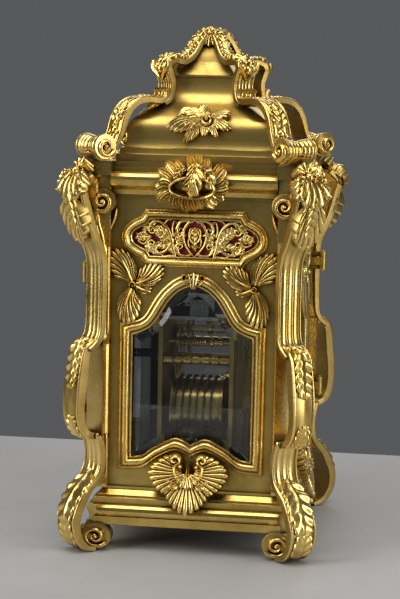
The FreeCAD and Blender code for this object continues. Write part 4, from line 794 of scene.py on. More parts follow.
# ------------------------------------------------------------------ camera and stage
def shot():
    a, e, rho = rad(98.185), rad(6.877), 0.0217
    tgt = Vector((0.02, -5.19, 138.52)) * 0.001
    D = 1.10696
    bk = Vector((math.sin(a) * math.cos(e), -math.cos(a) * math.cos(e), math.sin(e)))
    r = Vector((math.cos(a), math.sin(a), 0))
    u = bk.cross(r)
    X = r * math.cos(rho) + u * math.sin(rho)
    Y = -r * math.sin(rho) + u * math.cos(rho)
    cd = bpy.data.cameras.new("photo_view")
    co = bpy.data.objects.new("photo_view", cd)
    bpy.context.scene.collection.objects.link(co)
    M = Matrix((X, Y, bk)).transposed().to_4x4()
    M.translation = tgt + bk * D
    co.matrix_world = M
    cd.sensor_width = 36.0
    cd.sensor_fit = "AUTO"
    cd.lens = 1837.0 * 36.0 / 599.0
    cd.clip_start = 0.01
    bpy.context.scene.camera = co


def light(name, loc, target, size, energy, col=(1, 1, 1)):
    ld = bpy.data.lights.new(name, "AREA")
    ld.shape = "RECTANGLE"
    ld.size, ld.size_y = size
    ld.energy = energy
    ld.color = col
    lo = bpy.data.objects.new(name, ld)
    bpy.context.scene.collection.objects.link(lo)
    d = Vector(target) - Vector(loc)
    lo.rotation_euler = d.to_track_quat("-Z", "Y").to_euler()
    lo.location = loc


def stage():
    c = Cast()
    n = 24
    X, Y = np.meshgrid(np.linspace(-240, 520, n), np.linspace(-800, 800, n), indexing="ij")
    c.grid(np.stack([X, Y, np.full_like(X, -0.05)], -1), np.ones((n, n)), cv=False, caps=False)
    m, nt, b, out = mat_new("floor_pale")
    v = coords(nt)
    nz = noise(nt, 9.0, 5.0, 0.6, v)
    nt.links.new(ramp(nt, nz.outputs["Fac"], [(0.3, (0.40, 0.40, 0.405)), (0.7, (0.45, 0.45, 0.45))]), b.inputs["Base Color"])
    b.inputs["Roughness"].default_value = 0.55
    ob = make("floor", c, m, body=None, angle=0)
    w = bpy.data.worlds.new("studio")
    bpy.context.scene.world = w
    w.use_nodes = True
    w.node_tree.nodes["Background"].inputs[0].default_value = (0.355, 0.365, 0.38, 1)
    w.node_tree.nodes["Background"].inputs[1].default_value = 0.27
    light("soft_top", (0.25, -0.05, 1.05), (0, 0, 0.15), (0.9, 0.7), 6.2, (1.0, 0.98, 0.95))
    light("soft_left", (0.75, -0.85, 0.55), (0, 0, 0.14), (0.45, 0.9), 7.0, (1.0, 0.98, 0.95))
    light("soft_right", (0.45, 0.95, 0.40), (0, 0, 0.14), (0.35, 0.9), 5.2, (1.0, 0.99, 0.97))
    light("soft_back", (-0.9, 0.1, 0.7), (0, 0, 0.15), (0.8, 0.6), 2.4)
    s = bpy.context.scene
    s.view_settings.view_transform = "Standard"
    s.view_settings.look = "None"
    s.view_settings.exposure = 0.0


shot()
stage()


# ------------------------------------------------------------------ corner pilasters (corner frame: u outward, v across)
def to_corners(cast, names, mat, replaces=None, angle=38.0):
    out = []
    for tag, sx, sy, ang in CORNERS:
        ca, sa = math.cos(rad(ang)), math.sin(rad(ang))
        cx, cy = sx * HX, sy * HY
        fn = lambda v, ca=ca, sa=sa, cx=cx, cy=cy: np.stack([cx + v[:, 0] * ca - v[:, 1] * sa, cy + v[:, 0] * sa + v[:, 1] * ca, v[:, 2]], 1)
        out.append(make(names + "_" + tag, cast.moved(fn), mat, replaces=(replaces + "_" + tag,) if replaces else (), angle=angle))
    return out


def core(M, rows, inset=0.9, lip=-1.0, n=50):
    """cheeks and backing of a pilaster part, from the same sections as the CAD"""
    R = spl([(z, U - inset, hw - inset * 0.6) for z, U, hw in rows], n)
    P = []
    for z, U, hw in R:
        e3 = (U - hw) / S2
        sd = 3.2 + max(0.0, min(2.6, (e3 - 1.0) * 0.6))
        K = ((U + hw) / S2, e3)
        es = max(-0.55, e3 - 1.4)
        pr = [(0.1, lip), (sd - 0.5, lip), (sd, lip + 0.35), (sd, es), (min(sd + 0.9, K[0] - 0.3), max(es + 0.2, e3 - 0.25)), (K[0] - 0.5, e3), K]
        pts = [((a + b) / S2, (a - b) / S2) for a, b in pr]
        pts = pts + [(a, -b) for a, b in reversed(pts)] + [(0.2 / S2, 0.0)]
        P.append([(a, b, z) for a, b in pts])
    M.grid(np.array(P), np.full((n, len(P[0])), 0.75))


pil = Cast()
UP = [(119, 14.0, 8.4), (122, 12.0, 8.2), (127, 10.8, 8.0), (143, 10.6, 8.0), (158, 10.6, 8.0), (168, 11.0, 8.2), (174.5, 13.2, 8.6), (180, 16.6, 8.8), (185, 18.8, 9.2), (190, 20.8, 9.6),
      (199, 23.8, 10.0), (204, 25.0, 10.0), (207.5, 25.4, 10.0), (210.5, 24.0, 9.6), (213.5, 20.8, 9.2), (215.4, 17.8, 8.8)]
core(pil, UP, 1.0, n=56)
core(pil, [(67, 13.2, 8.6), (65, 11.6, 9.0), (61, 10.2, 9.2), (55, 9.6, 9.2), (48, 10.3, 9.3), (44, 12.4, 9.5), (41, 14.8, 9.5), (38.5, 17.4, 9.5), (36.2, 20.2, 9.5)], 1.0, n=30)
core(pil, [(64, 9.2, 8.0), (90, 9.2, 8.2), (122, 9.2, 8.0)], 0.0, n=8)

# upper band: three reeds between raised edges, swept out at the foot
P_UP = [(19.0, 118.0), (15.2, 120.6), (12.2, 124.0), (10.9, 129.0), (10.5, 143), (10.5, 158), (10.9, 167), (12.8, 173.5), (16.2, 179.4), (18.8, 184.6), (21.0, 190), (24.0, 198.6), (25.8, 204.8), (26.0, 208.2), (24.4, 211.4), (21.0, 214.1), (17.8, 215.8)]
rel_up = lambda t, s: rims(s, 0.9) + 1.0 * reeds(s, 3, 0.74) * np.interp(t, [0, 0.04, 0.5, 0.58, 1], [0.5, 1, 1, 0.35, 0.2]) - 0.35
band(pil, P_UP, ([0, 0.06, 0.12, 0.2, 0.5, 0.62, 0.9, 1], [9.4, 8.8, 8.4, 8.2, 8.2, 8.8, 9.6, 8.4]), rel_up, th=([0, 0.1, 0.8, 1], [2.4, 3.0, 4.5, 3.0]), n=110, m=53, flip=-1)

# C scroll of the middle
P_C = [(11.5, 121.6), (17.6, 120.8), (21.2, 117.2), (23.3, 108.0), (25.0, 95.0), (25.5, 85.0), (24.7, 76.5), (22.2, 70.6), (17.6, 66.8), (11.0, 65.4)]
rel_c = lambda t, s: rims(s, 1.05, 0.88, 0.11) + 0.5 * bump(s, 0, 0.38) - 0.3
band(pil, P_C, ([0, 0.1, 0.5, 0.9, 1], [6.8, 7.5, 7.8, 7.3, 6.2]), rel_c, th=([0, 0.12, 0.4, 0.8, 1], [3.0, 4.4, 5.4, 4.4, 2.4]), n=80, m=37, flip=1)

# lower S scroll down to the foot
P_S = [(11.6, 68.4), (12.6, 67.2), (11.0, 63.0), (9.9, 57.0), (10.0, 50.0), (11.6, 45.0), (14.9, 41.0), (20.0, 36.4), (23.9, 30.2), (26.7, 24.0), (28.0, 18.6), (27.4, 13.0), (25.6, 8.2), (22.2, 4.0), (17.6, 1.1), (12.0, 0.25)]
rel_s = lambda t, s: rims(s, 1.0) + 0.85 * reeds(s, 3, 0.74) * np.interp(t, [0, 0.05, 0.33, 0.45, 1], [0.6, 1, 1, 0.3, 0.25]) - 0.35
CS, NS = band(pil, P_S, ([0, 0.1, 0.3, 0.5, 0.8, 0.9, 1], [8.4, 8.8, 9.0, 9.2, 9.0, 8.4, 7.8]), lambda t, s: np.clip(rel_s(t, s), -5, 5) * np.interp(t, [0, 0.9, 1], [1, 1, 0.15]), th=([0, 0.35, 0.5, 0.7, 0.85, 1], [2.6, 3.4, 4.6, 4.6, 3.8, 2.2]), n=110, m=53, flip=1)

# leaves on the bands
T_S = Track(P_S, put_local, flip=1)
T_C = Track(P_C, put_local, flip=1)
T_U = Track(P_UP[::-1], put_local, flip=1)


def both(fn):
    """build on one face of the corner and mirror to the other"""
    c = Cast()
    fn(c)
    pil.join(c)
    pil.join(mirror(c, 1))


# acanthus on the lower S: one long leaf hanging from the waist, another rising from the foot
LS = T_S.L[-1]
a0 = T_S.at(47.0)
leaf(pil, T_S, [(0, a0), (0.4, a0 + 12), (-0.3, a0 + 24), (0, a0 + 34)], lambda t: 9.2 * np.interp(t, [0, 0.2, 0.6, 0.9, 1], [0.75, 1, 0.95, 0.7, 0.4]), nl=5, ang=56, h=2.2, base=-1.2, curl=0.6, rib=0.35, deep=0.13, vein=0.42)
a1 = T_S.at(8.0, 40)
leaf(pil, T_S, [(0, LS - 9), (0, LS - 18), (0, LS - 28)], lambda t: 7.6 * np.interp(t, [0, 0.3, 0.8, 1], [0.9, 1, 0.7, 0.4]), nl=4, ang=56, h=1.6, base=-1.0, rib=0.3, deep=0.13, vein=0.42)
# leaf on the back of the C and a smaller one at its foot
leaf(pil, T_C, [(0, 5), (0.3, 15), (-0.2, 25), (0, 34)], lambda t: 6.6 * np.interp(t, [0, 0.25, 0.65, 0.9, 1], [0.8, 1, 0.85, 0.6, 0.4]), nl=5, ang=54, h=2.0, base=-0.9, rib=0.8, curl=0.8)
LC = T_C.L[-1]
leaf(pil, T_C, [(0, LC - 5), (0, LC - 13), (0, LC - 22)], lambda t: 5.8 * np.interp(t, [0, 0.3, 0.8, 1], [0.9, 1, 0.7, 0.4]), nl=4, ang=54, h=1.7, base=-0.9, rib=0.6)
bead(pil, T_C, 0, 4.5, 2.8, 2.4, -1.0)
for v in (-4.4, 4.4):
    bead(pil, T_C, v, 3.6, 2.0, 1.9, -1.0)
# pendant acanthus on the head
u0 = T_U.at(206.0)
fan(pil, T_U, 0, u0 - 6.0, 90 - 33, 90 + 33, lambda q: 35.0 * (0.50 + 0.50 * math.sin(pi * min(1, max(0, q))) ** 1.1), 9, 2.9, -1.8, r0=4.0, lift=0.2, curl=3.0, deep=0.13, rows=16)
leaf(pil, T_U, [(0, u0 - 1), (0, u0 + 10), (0, u0 + 21)], lambda t: 4.4 * np.interp(t, [0, 0.3, 0.7, 1], [0.8, 1.0, 0.8, 0.5]), nl=5, ang=44, h=1.9, base=-1.0, rib=0.6, lift=lambda t: 2.6 + 1.0 * t, deep=0.14, vein=0.45)
for k in (-1, 0, 1):
    bead(pil, T_U, 2.7 * k, u0 + 28.0 - 1.2 * abs(k), 2.2, 5.0, 0.5, ay=0.9)
# fluted shell cap that climbs to the cornice block
P_CAP = [(24.6, 200.0), (25.9, 205.0), (25.9, 209.4), (24.2, 213.4), (21.2, 216.8), (18.4, 219.8), (16.2, 223.2)]
T_CAP = Track(P_CAP, put_local, flip=-1)
fan(pil, T_CAP, 0, 23.0, -147, -33, lambda q: 22.6 - 9.4 * abs(2 * q - 1) ** 1.7, 7, 3.4, -3.2, r0=3.0, lift=-0.2, curl=1.2, deep=0.16)
fan(pil, T_CAP, 0, 19.0, 22, 158, lambda q: 9.0 - 1.6 * abs(2 * q - 1), 5, 3.0, -2.4, r0=1.6, lift=0.8, curl=1.0, deep=0.2)
for k in (-1, 1):
    leaf(pil, T_CAP, [(2.0 * k, 19.0), (7.4 * k, 14.0), (10.6 * k, 6.0)], 3.2, nl=4, ang=50, h=2.6, base=-2.5, lift=1.0, curl=1.0)
    stroke(pil, T_CAP, curl_pts([(1.4 * k, 14.0), (4.4 * k, 16.6), (7.8 * k, 17.0)], -k, 2.0, 1.0), 1.1, 4.6, -2.0, n=34)
bead(pil, T_CAP, 0, 17.4, 2.6, 5.4, -2.0, ay=1.2)


# faces: head volute with its strip, foot volute
def faces(c):
    F = on_face(10.2)
    volute(c, F, 3.1, 200.8, 7.2, 1.5, 1.35, 1.9, side=-1, a0=rad(-60), base=-3.5, disc=(-1.0, 6.0), h_in=2.4, eye=0.95, n=90)
    # rim that runs from the volute down the inner side of the strip
    Fs = on_face(3.2)
    stroke(c, Fs, [(-4.3, 197.0), (-3.0, 190.5), (-0.4, 184.0), (0.2, 172.0), (-0.1, 150.0), (-0.1, 124.0)], 0.75, 1.1, -2.6, n=60, lift=0.3)
    stroke(c, Fs, [(6.0, 194.0), (5.4, 188.0), (3.6, 182.0), (2.2, 176.0)], 0.8, 1.4, -2.6, n=24, lift=2.4)
    # foot volute, wider than high
    F2 = on_face(12.0)
    volute(c, F2, 3.9, 8.3, 7.9, 1.7, 1.4, 1.6, side=1, a0=rad(-150), ax=1.12, base=-4.5, disc=(-1.4, 1.0), h_in=2.4, n=110, eye=0.95)
    volute(c, on_face(7.0), 3.9, 7.5, 7.2, 0.2, 0.6, 0.6, side=1, a0=rad(-150), ax=1.12, base=-4.5, disc=(2.4, 3.6), n=12, eye=0)
    # backing strip rims
    F3 = on_face(2.9)
    stroke(c, F3, [(0.6, 122.0), (0.6, 66.0)], 0.6, 0.9, -2.0, n=8)
    # rim of the lower cheek
    stroke(c, Fs, [(-0.2, 67.0), (-0.4, 52.0), (-0.2, 44.0), (0.2, 37.0)], 0.7, 1.0, -2.0, n=24, lift=0.2)


both(faces)
to_corners(pil, "pilaster", gilt, replaces="corner_pilaster")

# ------------------------------------------------------------------ ridge scrolls of the roof
rid = Cast()
P_R1 = [(16.4, 228.6), (14.2, 226.0), (10.5, 225.1), (5.6, 227.0), (2.8, 231.0), (0.6, 236.0), (-1.4, 240.6), (-2.6, 245.0), (-4.4, 249.8), (-8.2, 255.0), (-14.0, 258.7), (-22.0, 259.9), (-28.6, 259.3), (-32.6, 260.2), (-33.6, 262.6), (-32.2, 264.2)]
rel_r = lambda t, s: rims(s, 0.95, 0.88, 0.11) + 0.7 * reeds(s, 3, 0.66) - 0.3
band(rid, P_R1, ([0, 0.08, 0.3, 0.8, 1], [7.8, 7.8, 7.4, 6.8, 6.6]), rel_r, th=([0, 0.15, 0.5, 0.9, 1], [1.2, 1.4, 3.4, 3.0, 1.4]), n=120, m=41, flip=-1)
P_R2 = [(-31.6, 257.2), (-34.6, 259.4), (-35.9, 263.6), (-36.1, 268.0), (-34.6, 272.6), (-33.2, 277.0), (-35.4, 280.9), (-40.4, 282.6), (-46.5, 281.6), (-51.4, 283.8), (-55.2, 287.8), (-58.2, 292.2), (-61.2, 295.6), (-64.6, 297.5), (-68.2, 298.3)]
rel_r2 = lambda t, s: rims(s, 0.85, 0.88, 0.11) * np.interp(t, [0, 0.6, 1], [1, 1, 0.5]) + 0.75 * reeds(s, 4, 0.7) - 0.3
band(rid, P_R2, ([0, 0.3, 0.55, 0.8, 1], [6.6, 6.8, 5.8, 4.6, 3.8]), rel_r2, th=([0, 0.2, 0.7, 1], [2.4, 3.2, 2.8, 2.0]), n=100, m=41, flip=-1)
T_R1 = Track(P_R1, put_local, flip=-1)
T_R2 = Track(P_R2, put_local, flip=-1)
L1, L2 = T_R1.L[-1], T_R2.L[-1]
R0 = T_R1.at(243.0)
leaf(rid, T_R1, [(0, R0), (0.2, R0 + 9), (0, R0 + 18)], lambda t: 5.2 * np.interp(t, [0, 0.3, 0.8, 1], [0.9, 1, 0.6, 0.3]), nl=5, ang=50, h=1.6, base=-0.8, rib=0.6)
bead(rid, T_R1, 0, R0 - 2.0, 2.5, 2.0, -0.8)
for k in (-1, 1):
    bead(rid, T_R1, 3.4 * k, R0 - 3.4, 1.7, 1.5, -0.8)
leaf(rid, T_R1, [(0, L1 - 4), (0, L1 - 12), (0, L1 - 20)], lambda t: 5.0 * np.interp(t, [0, 0.3, 0.8, 1], [0.9, 1, 0.6, 0.3]), nl=5, ang=48, h=1.3, base=-0.8, rib=0.5)
# knobbly leaf at the shoulder
s1 = T_R2.at(274.0)
for (v, ds, r, h) in ((0, 2, 2.6, 2.6), (-3.4, 3.4, 2.0, 2.1), (3.4, 3.4, 2.0, 2.1), (-1.8, 6.4, 2.0, 2.4), (1.8, 6.4, 2.0, 2.4), (-4.6, 7.4, 1.6, 1.6), (4.6, 7.4, 1.6, 1.6), (0, 9.8, 1.8, 2.0)):
    bead(rid, T_R2, v, s1 + ds, r, h, -0.9)
for k in (-1, 1):
    petal(rid, T_R2, [(0.5 * k, s1 - 4), (2.6 * k, s1 - 0.5), (5.8 * k, s1 + 2.5), (7.2 * k, s1 + 6.5)], 1.6, 2.0, -1.0, n=14, groove=0.3, lift=0.4, curl=1.0)
    petal(rid, T_R2, [(1.0 * k, s1 + 4), (3.4 * k, s1 + 8), (6.2 * k, s1 + 10.5), (6.4 * k, s1 + 14)], 1.6, 1.8, -1.0, n=14, groove=0.3, lift=0.3, curl=0.8)
# leaf chain up to the peak
for j, (q0, q1, e) in enumerate(((s1 + 8, s1 + 24, 4.8), (s1 + 19, s1 + 34, 4.4), (s1 + 29, L2 + 1.0, 4.2))):
    leaf(rid, T_R2, [(0, q0), (0.3 * (-1) ** j, (q0 + q1) / 2), (0, q1)], lambda t, e=e: e * np.interp(t, [0, 0.3, 0.8, 1], [0.9, 1, 0.7, 0.35]), nl=5, ang=50, h=2.2, base=-1.2, rib=0.6, curl=1.4, lift=0.5)
# ribbed roll at the foot with a volute on each face
rows, cav = [], []
k = np.linspace(0, 2 * pi, 36, endpoint=False)
for i in range(85):
    v = -10.4 + 20.8 * i / 84
    q = abs(v) / 10.4
    r = 6.4 - 1.5 * (1 - q) ** 1.6 + 0.55 * abs(math.cos(v * pi / 2.6)) ** 0.7
    if i in (0, 84):
        r = 0.6
    rows.append(np.stack([11.0 + r * np.cos(k), np.full(36, v), 231.9 + r * np.sin(k)], 1))
    cav.append(np.full(36, 0.35 + 0.65 * abs(math.cos(v * pi / 2.6))))
rid.grid(np.array(rows), np.array(cav))


def on_end(v0):
    """corner frame, the end of the roll: a runs outward, b up"""
    return lambda a, b, h: np.stack([a + 0 * h, v0 + h + 0 * a, b + 0 * h], -1)


def rfaces(c):
    volute(c, on_end(10.2), 11.0, 231.9, 7.0, 1.5, 1.35, 2.3, side=1, a0=rad(200), base=-1.0, disc=(-0.6, 0.4), h_in=1.9, n=80, eye=0.95)


c_ = Cast()
rfaces(c_)
rid.join(c_)
rid.join(mirror(c_, 1))
to_corners(rid, "ridge", gilt, replaces="ridge_scroll")

# ------------------------------------------------------------------ crest on the peak, and the cap of the dome beneath it
cr = Cast()
F_T = on_top(296.2)
petal(cr, F_T, [(-17.0, 0), (-8, 0), (8, 0), (17.0, 0)], 4.4, 2.6, -4.4, n=40, m=11, W=BAND_W, H=([0, 1], [1, 1]), flutes=1.5)
for sx in (-1, 1):
    leaf(cr, F_T, [(0.4 * sx, 0), (8.0 * sx, 0.2), (17.0 * sx, 0)], 5.6, nl=6, ang=58, h=2.5, base=-3.2, lift=0.9, curl=0.4)
    bead(cr, F_T, sx * 17.0, 0, 2.3, 3.2, -3.0)
    F_E = on_side(20.4, sx)
    # leaf that hangs over each gable end
    fan(cr, F_E, 0, 298.4, -158, -22, lambda q: 9.6 - 3.4 * abs(2 * q - 1) ** 1.5, 7, 2.2, -4.6, r0=1.4, lift=-0.4, deep=0.2)
    for k_ in (-1, 1):
        leaf(cr, F_E, [(1.2 * k_, 297.6), (5.2 * k_, 296.4), (9.4 * k_, 291.8)], 2.4, nl=4, ang=50, h=1.9, base=-2.4, lift=-0.2)
    bead(cr, F_E, 0, 297.4, 1.7, 2.6, -2.0)
bead(cr, F_T, 0, 0, 2.8, 3.3, -3.0)
make("crest_leaves", cr, gilt, replaces=("top_crest",))

cap = Cast()
rows = []
for z, hy in ((280.6, 11.4), (283.0, 10.4), (285.5, 9.1), (288.0, 7.3), (290.2, 5.0), (292.0, 3.4), (294.6, 2.4)):
    hx_ = hy + 14.0
    rows.append([(-hx_, -hy, z), (hx_, -hy, z), (hx_, hy, z), (-hx_, hy, z)])
R = np.array(rows, float)
R = np.stack([R[:, [k, (k + 1) % 4]] @ np.array([[1]]) if False else R[:, k] * (1 - f) + R[:, (k + 1) % 4] * f for k in range(4) for f in (0.0, 0.02, 0.5, 0.98)], 1)
cap.grid(R, np.full(R.shape[:2], 0.8))
make("dome_cap", cap, satin)

# ------------------------------------------------------------------ dome with its curved faces
D1 = [(223.7, 46.5), (227.4, 46.5), (227.55, 46.2), (227.8, 44.7), (228.0, 44.6), (230.9, 44.5), (231.05, 44.3), (231.3, 42.7), (231.7, 42.5), (233.4, 41.7)]
D2 = spl([(233.4, 41.7), (236.0, 41.25), (240.0, 41.45), (243.0, 41.0), (246.0, 39.5), (248.0, 37.7), (249.8, 35.3), (251.6, 32.2), (253.4, 28.8), (255.2, 25.4), (257.2, 22.6), (259.5, 20.5), (262.0, 19.0), (265.0, 18.0), (268.0, 17.5), (271.1, 17.5)], 90)[1:]
D3 = [(271.25, 17.7), (271.5, 18.3), (272.6, 18.35), (272.8, 18.1), (272.95, 16.9)]
D4 = spl([(272.95, 16.8), (275.0, 15.3), (277.0, 13.7), (279.0, 12.3), (281.0, 11.1)], 16)
dm = Cast()
rows = []
for z, hy in D1 + [tuple(q) for q in D2] + D3 + [tuple(q) for q in D4]:
    hx_ = hy + 14.0
    c0 = 0.45
    ring_ = []
    for (ax_, ay_), (bx_, by_) in (((-hx_ + c0, -hy), (hx_ - c0, -hy)), ((hx_, -hy + c0), (hx_, hy - c0)), ((hx_ - c0, hy), (-hx_ + c0, hy)), ((-hx_, hy - c0), (-hx_, -hy + c0))):
        for f in np.linspace(0, 1, 9):
            ring_.append((ax_ + (bx_ - ax_) * f, ay_ + (by_ - ay_) * f, z))
    rows.append(ring_)
dm.grid(np.array(rows, float), np.full((len(rows), 36), 0.8))
make("dome_shell", dm, satin, replaces=("dome",), angle=30)

# ------------------------------------------------------------------ window mouldings and glass
PROF_W = [(0.0, -0.3), (0.0, 1.0), (0.3, 1.35), (0.9, 1.45), (1.25, 1.1), (1.4, 0.85), (1.7, 1.5), (2.2, 2.35), (2.9, 2.9), (3.7, 3.0), (4.5, 2.75), (5.1, 2.1), (5.5, 1.35), (5.8, 1.1), (6.0, 1.35), (6.5, 1.5), (7.0, 1.3),
          (7.45, 0.8), (7.6, 0.02), (1.62, 0.02), (1.58, -0.3)]


def clasp(M, F, zt, kx=1.0, sy=1.0):
    """small leaf that ties the moulding at its crown"""
    for k_, w_ in ((0, 1.25), (-1, 0.95), (1, 0.95)):
        petal(M, F, [(k_ * 0.9, zt - 1.2), (k_ * 1.7, zt + 3.0), (k_ * 2.6, zt + 6.6), (k_ * 3.2, zt + 8.8 - abs(k_))], w_, 3.9, -1.0, n=14, m=7, groove=0.2)
    for s_ in (-1, 1):
        stroke(M, F, curl_pts([(s_ * 1.6, zt + 1.0), (s_ * 4.2, zt + 1.6), (s_ * 6.2, zt + 4.2)], s_, 1.9, 0.9), 0.75, 3.7, -1.0, n=26)


def bevel_glass(M, F, fn, t, edge, flat, hi_edge):
    """closed plate with a bevel round its outer face; F's h runs from the inner face"""
    rows = []
    for d, h in ((edge - 20.0, 0.0), (edge - 0.0, 0.0), (edge, hi_edge), (flat, t), (edge - 20.0, t)):
        rows.append((d, h))
    P, cav = [], []
    cen = None
    for d, h in rows:
        if d == edge - 20.0:
            o = outline(fn(flat if h > 0 else edge), 26)
            o = o * np.array([0.02, 0.02]) + np.array([0, 100.0]) * 0.98
        else:
            o = outline(fn(d), 26)
        P.append(F(o[:, 0], o[:, 1], np.full(len(o), h)))
        cav.append(np.ones(len(o)))
    M.grid(np.array(P), np.array(cav))


for tag, sg in (("right", 1), ("left", -1)):
    F = on_side(62.5, sg)
    w = Cast()
    ring(w, win, PROF_W, F)
    clasp(w, F, 153.3)
    make("window_moulding_" + tag, w, gilt, replaces=("side_window_frame_" + tag,))
    g = Cast()
    bevel_glass(g, on_side(59.0, sg), win, 3.0, 1.4, -4.8, 1.0)
    make("window_glass_" + tag, g, glass, replaces=("side_glass_" + tag,), angle=8)

# ------------------------------------------------------------------ sound frets
def fret_half(M, F):
    zc = 180.7
    q = lambda *p: [(a, zc + b) for a, b in p]
    st = lambda P, w=0.75, h=1.0, n=34: stroke(M, F, P, w * 1.22, h * 1.15, -0.7, n=n, m=7, W=([0, 0.05, 0.6, 1], [0.7, 1, 0.85, 0.45]))
    # pointed oval in the middle
    st(q((-0.2, 10.6), (3.8, 8.6), (6.4, 3.8), (6.0, -2.4), (3.0, -7.4), (-0.2, -11.0)), 0.8)
    st(curl_pts(q((-0.2, -3.4), (2.0, -1.6), (3.4, 1.6), (2.8, 4.8)), 1, 1.3, 1.0), 0.6)
    st(curl_pts(q((-0.2, 5.4), (1.6, 4.0), (3.6, -1.4), (3.2, -4.4)), -1, 1.1, 0.9), 0.55)
    # C scrolls beside it
    st(curl_pts(q((1.0, 9.2), (4.6, 10.2), (8.6, 8.9), (10.4, 5.8)), -1, 2.5, 1.15), 0.8)
    st(curl_pts(q((1.0, -8.8), (4.6, -10.2), (8.8, -9.2), (10.6, -6.2)), 1, 2.4, 1.15), 0.8)
    st(curl_pts(q((4.9, 1.5), (6.6, 2.4), (8.4, 0.8)), -1, 1.3, 1.0), 0.6)
    # running S with its acanthus
    st(curl_pts(q((11.0, -10.6), (12.6, -5.6), (13.6, 0.0), (15.8, 5.4), (20.2, 9.2), (24.8, 8.4), (26.4, 5.2)), -1, 2.3, 1.2), 0.95, 1.15, 46)
    st(curl_pts(q((13.2, -3.0), (16.8, -7.6), (21.4, -9.2), (25.6, -7.4), (26.6, -4.0)), 1, 2.1, 1.15), 0.85, 1.05, 40)
    st(curl_pts(q((12.4, 0.6), (13.0, 5.0), (12.2, 8.8)), 1, 1.2, 0.9), 0.6)
    st(curl_pts(q((20.0, 9.0), (25.0, 10.2), (28.4, 8.2)), -1, 1.2, 0.9), 0.55)
    # broad leaf that rises beside the S, and small curls in the gaps
    leaf(M, F, q((12.0, -9.0), (14.2, -3.6), (17.4, 1.0), (22.4, 5.6)), lambda t: 3.6 * float(np.interp(t, [0, 0.3, 0.7, 1], [0.6, 1, 0.95, 0.6])), nl=6, ang=48, h=1.3, base=-0.7, rib=0.3, ribw=0.45, deep=0.3)
    leaf(M, F, q((20.4, -9.0), (24.6, -7.0), (28.4, -2.6)), 2.2, nl=4, ang=48, h=1.2, base=-0.7, rib=0.3, ribw=0.45, deep=0.3)
    leaf(M, F, q((22.0, 8.6), (26.4, 6.6), (29.6, 3.2)), 2.0, nl=4, ang=48, h=1.2, base=-0.7, rib=0.3, ribw=0.45, deep=0.3)
    st(curl_pts(q((11.0, -10.6), (14.0, -10.2), (17.2, -10.6), (19.4, -9.6)), 1, 1.1, 0.9), 0.55)
    st(curl_pts(q((13.0, 10.6), (16.0, 9.8), (17.6, 7.6)), -1, 1.2, 1.0), 0.55)
    st(curl_pts(q((8.8, 8.8), (10.0, 4.6), (9.0, 0.6)), -1, 1.3, 0.9), 0.55)
    st(curl_pts(q((8.8, -8.8), (10.2, -5.0), (10.4, -1.6)), 1, 1.2, 0.9), 0.55)
    # far scrolls and leaf in the point
    st(curl_pts(q((26.0, 0.4), (29.4, 2.6), (32.2, 1.6)), -1, 1.5, 1.1), 0.7)
    st(curl_pts(q((26.0, -0.4), (29.0, -3.8), (31.6, -3.0)), 1, 1.2, 1.0), 0.6)
    lv = lambda P, e, nl=4, h=1.1: leaf(M, F, P, e * 1.25, nl=nl, ang=48, h=h * 1.2, base=-0.7, rib=0.3, n=8, m=5, ribw=0.45)
    lv(q((14.0, -1.0), (17.4, 1.4), (21.0, 3.6), (24.0, 3.9)), 2.5, 5)
    lv(q((15.6, -5.4), (19.2, -4.6), (22.6, -5.2), (24.6, -4.4)), 2.0, 4)
    lv(q((24.6, 0.2), (28.6, 0.0), (33.6, 0.4)), 2.0, 4)
    lv(q((12.6, 3.0), (10.6, 1.4), (9.0, -1.6), (7.6, -3.6)), 1.7, 4)
    lv(q((27.0, -6.0), (29.0, -8.2), (27.6, -10.2)), 1.1, 3)
    bead(M, F, 11.2, zc - 8.6, 1.0, 1.2, -0.7)


PROF_F = [(0.0, -0.6), (0.0, 0.9), (0.35, 1.2), (0.9, 1.2), (1.2, 0.8), (1.5, 1.5), (2.1, 2.45), (2.9, 2.85), (3.6, 2.7), (4.2, 2.0), (4.5, 1.2), (4.7, 1.1), (5.1, 1.35), (5.5, 1.1), (5.8, 0.5), (5.85, 0.02), (1.45, 0.02), (1.4, -0.6)]
for tag, sg in (("right", 1), ("left", -1)):
    F = on_side(62.5, sg)
    f = Cast()
    ring(f, fretline, PROF_F, F)
    h = Cast()
    Ff = on_side(61.9, sg)
    fret_half(h, Ff)
    f.join(h)
    f.join(mirror(h, 1))
    m_ = Cast()
    leaf(m_, Ff, [(0, 173.4), (0, 180.0), (0, 186.6)], 1.9, nl=5, ang=46, h=1.3, base=-0.7, rib=0.4, n=8, m=5, ribw=0.5)
    f.join(m_)
    make("sound_fret_cast_" + tag, f, gilt, replaces=("sound_fret_" + tag,))
    # silk, stretched and very slightly slack between its edges
    s_ = Cast()
    rows, cav = [], []
    for q_, hh in ((1.0, -0.55), (1.0, 0.0), (0.9, -0.06), (0.7, -0.13), (0.45, -0.17), (0.2, -0.19), (0.01, -0.2)):
        o = outline(fretline(1.3), 26)
        o = (o - np.array([0, 180.7])) * q_ + np.array([0, 180.7])
        wob = 0.05 * np.sin(o[:, 0] * 0.55) * (1 - q_)
        rows.append(on_side(60.65, sg)(o[:, 0], o[:, 1], hh + wob))
        cav.append(np.ones(len(o)))
    s_.grid(np.array(rows), np.array(cav))
    make("fret_silk_" + tag, s_, silk, replaces=("fret_cloth_" + tag,), angle=60)


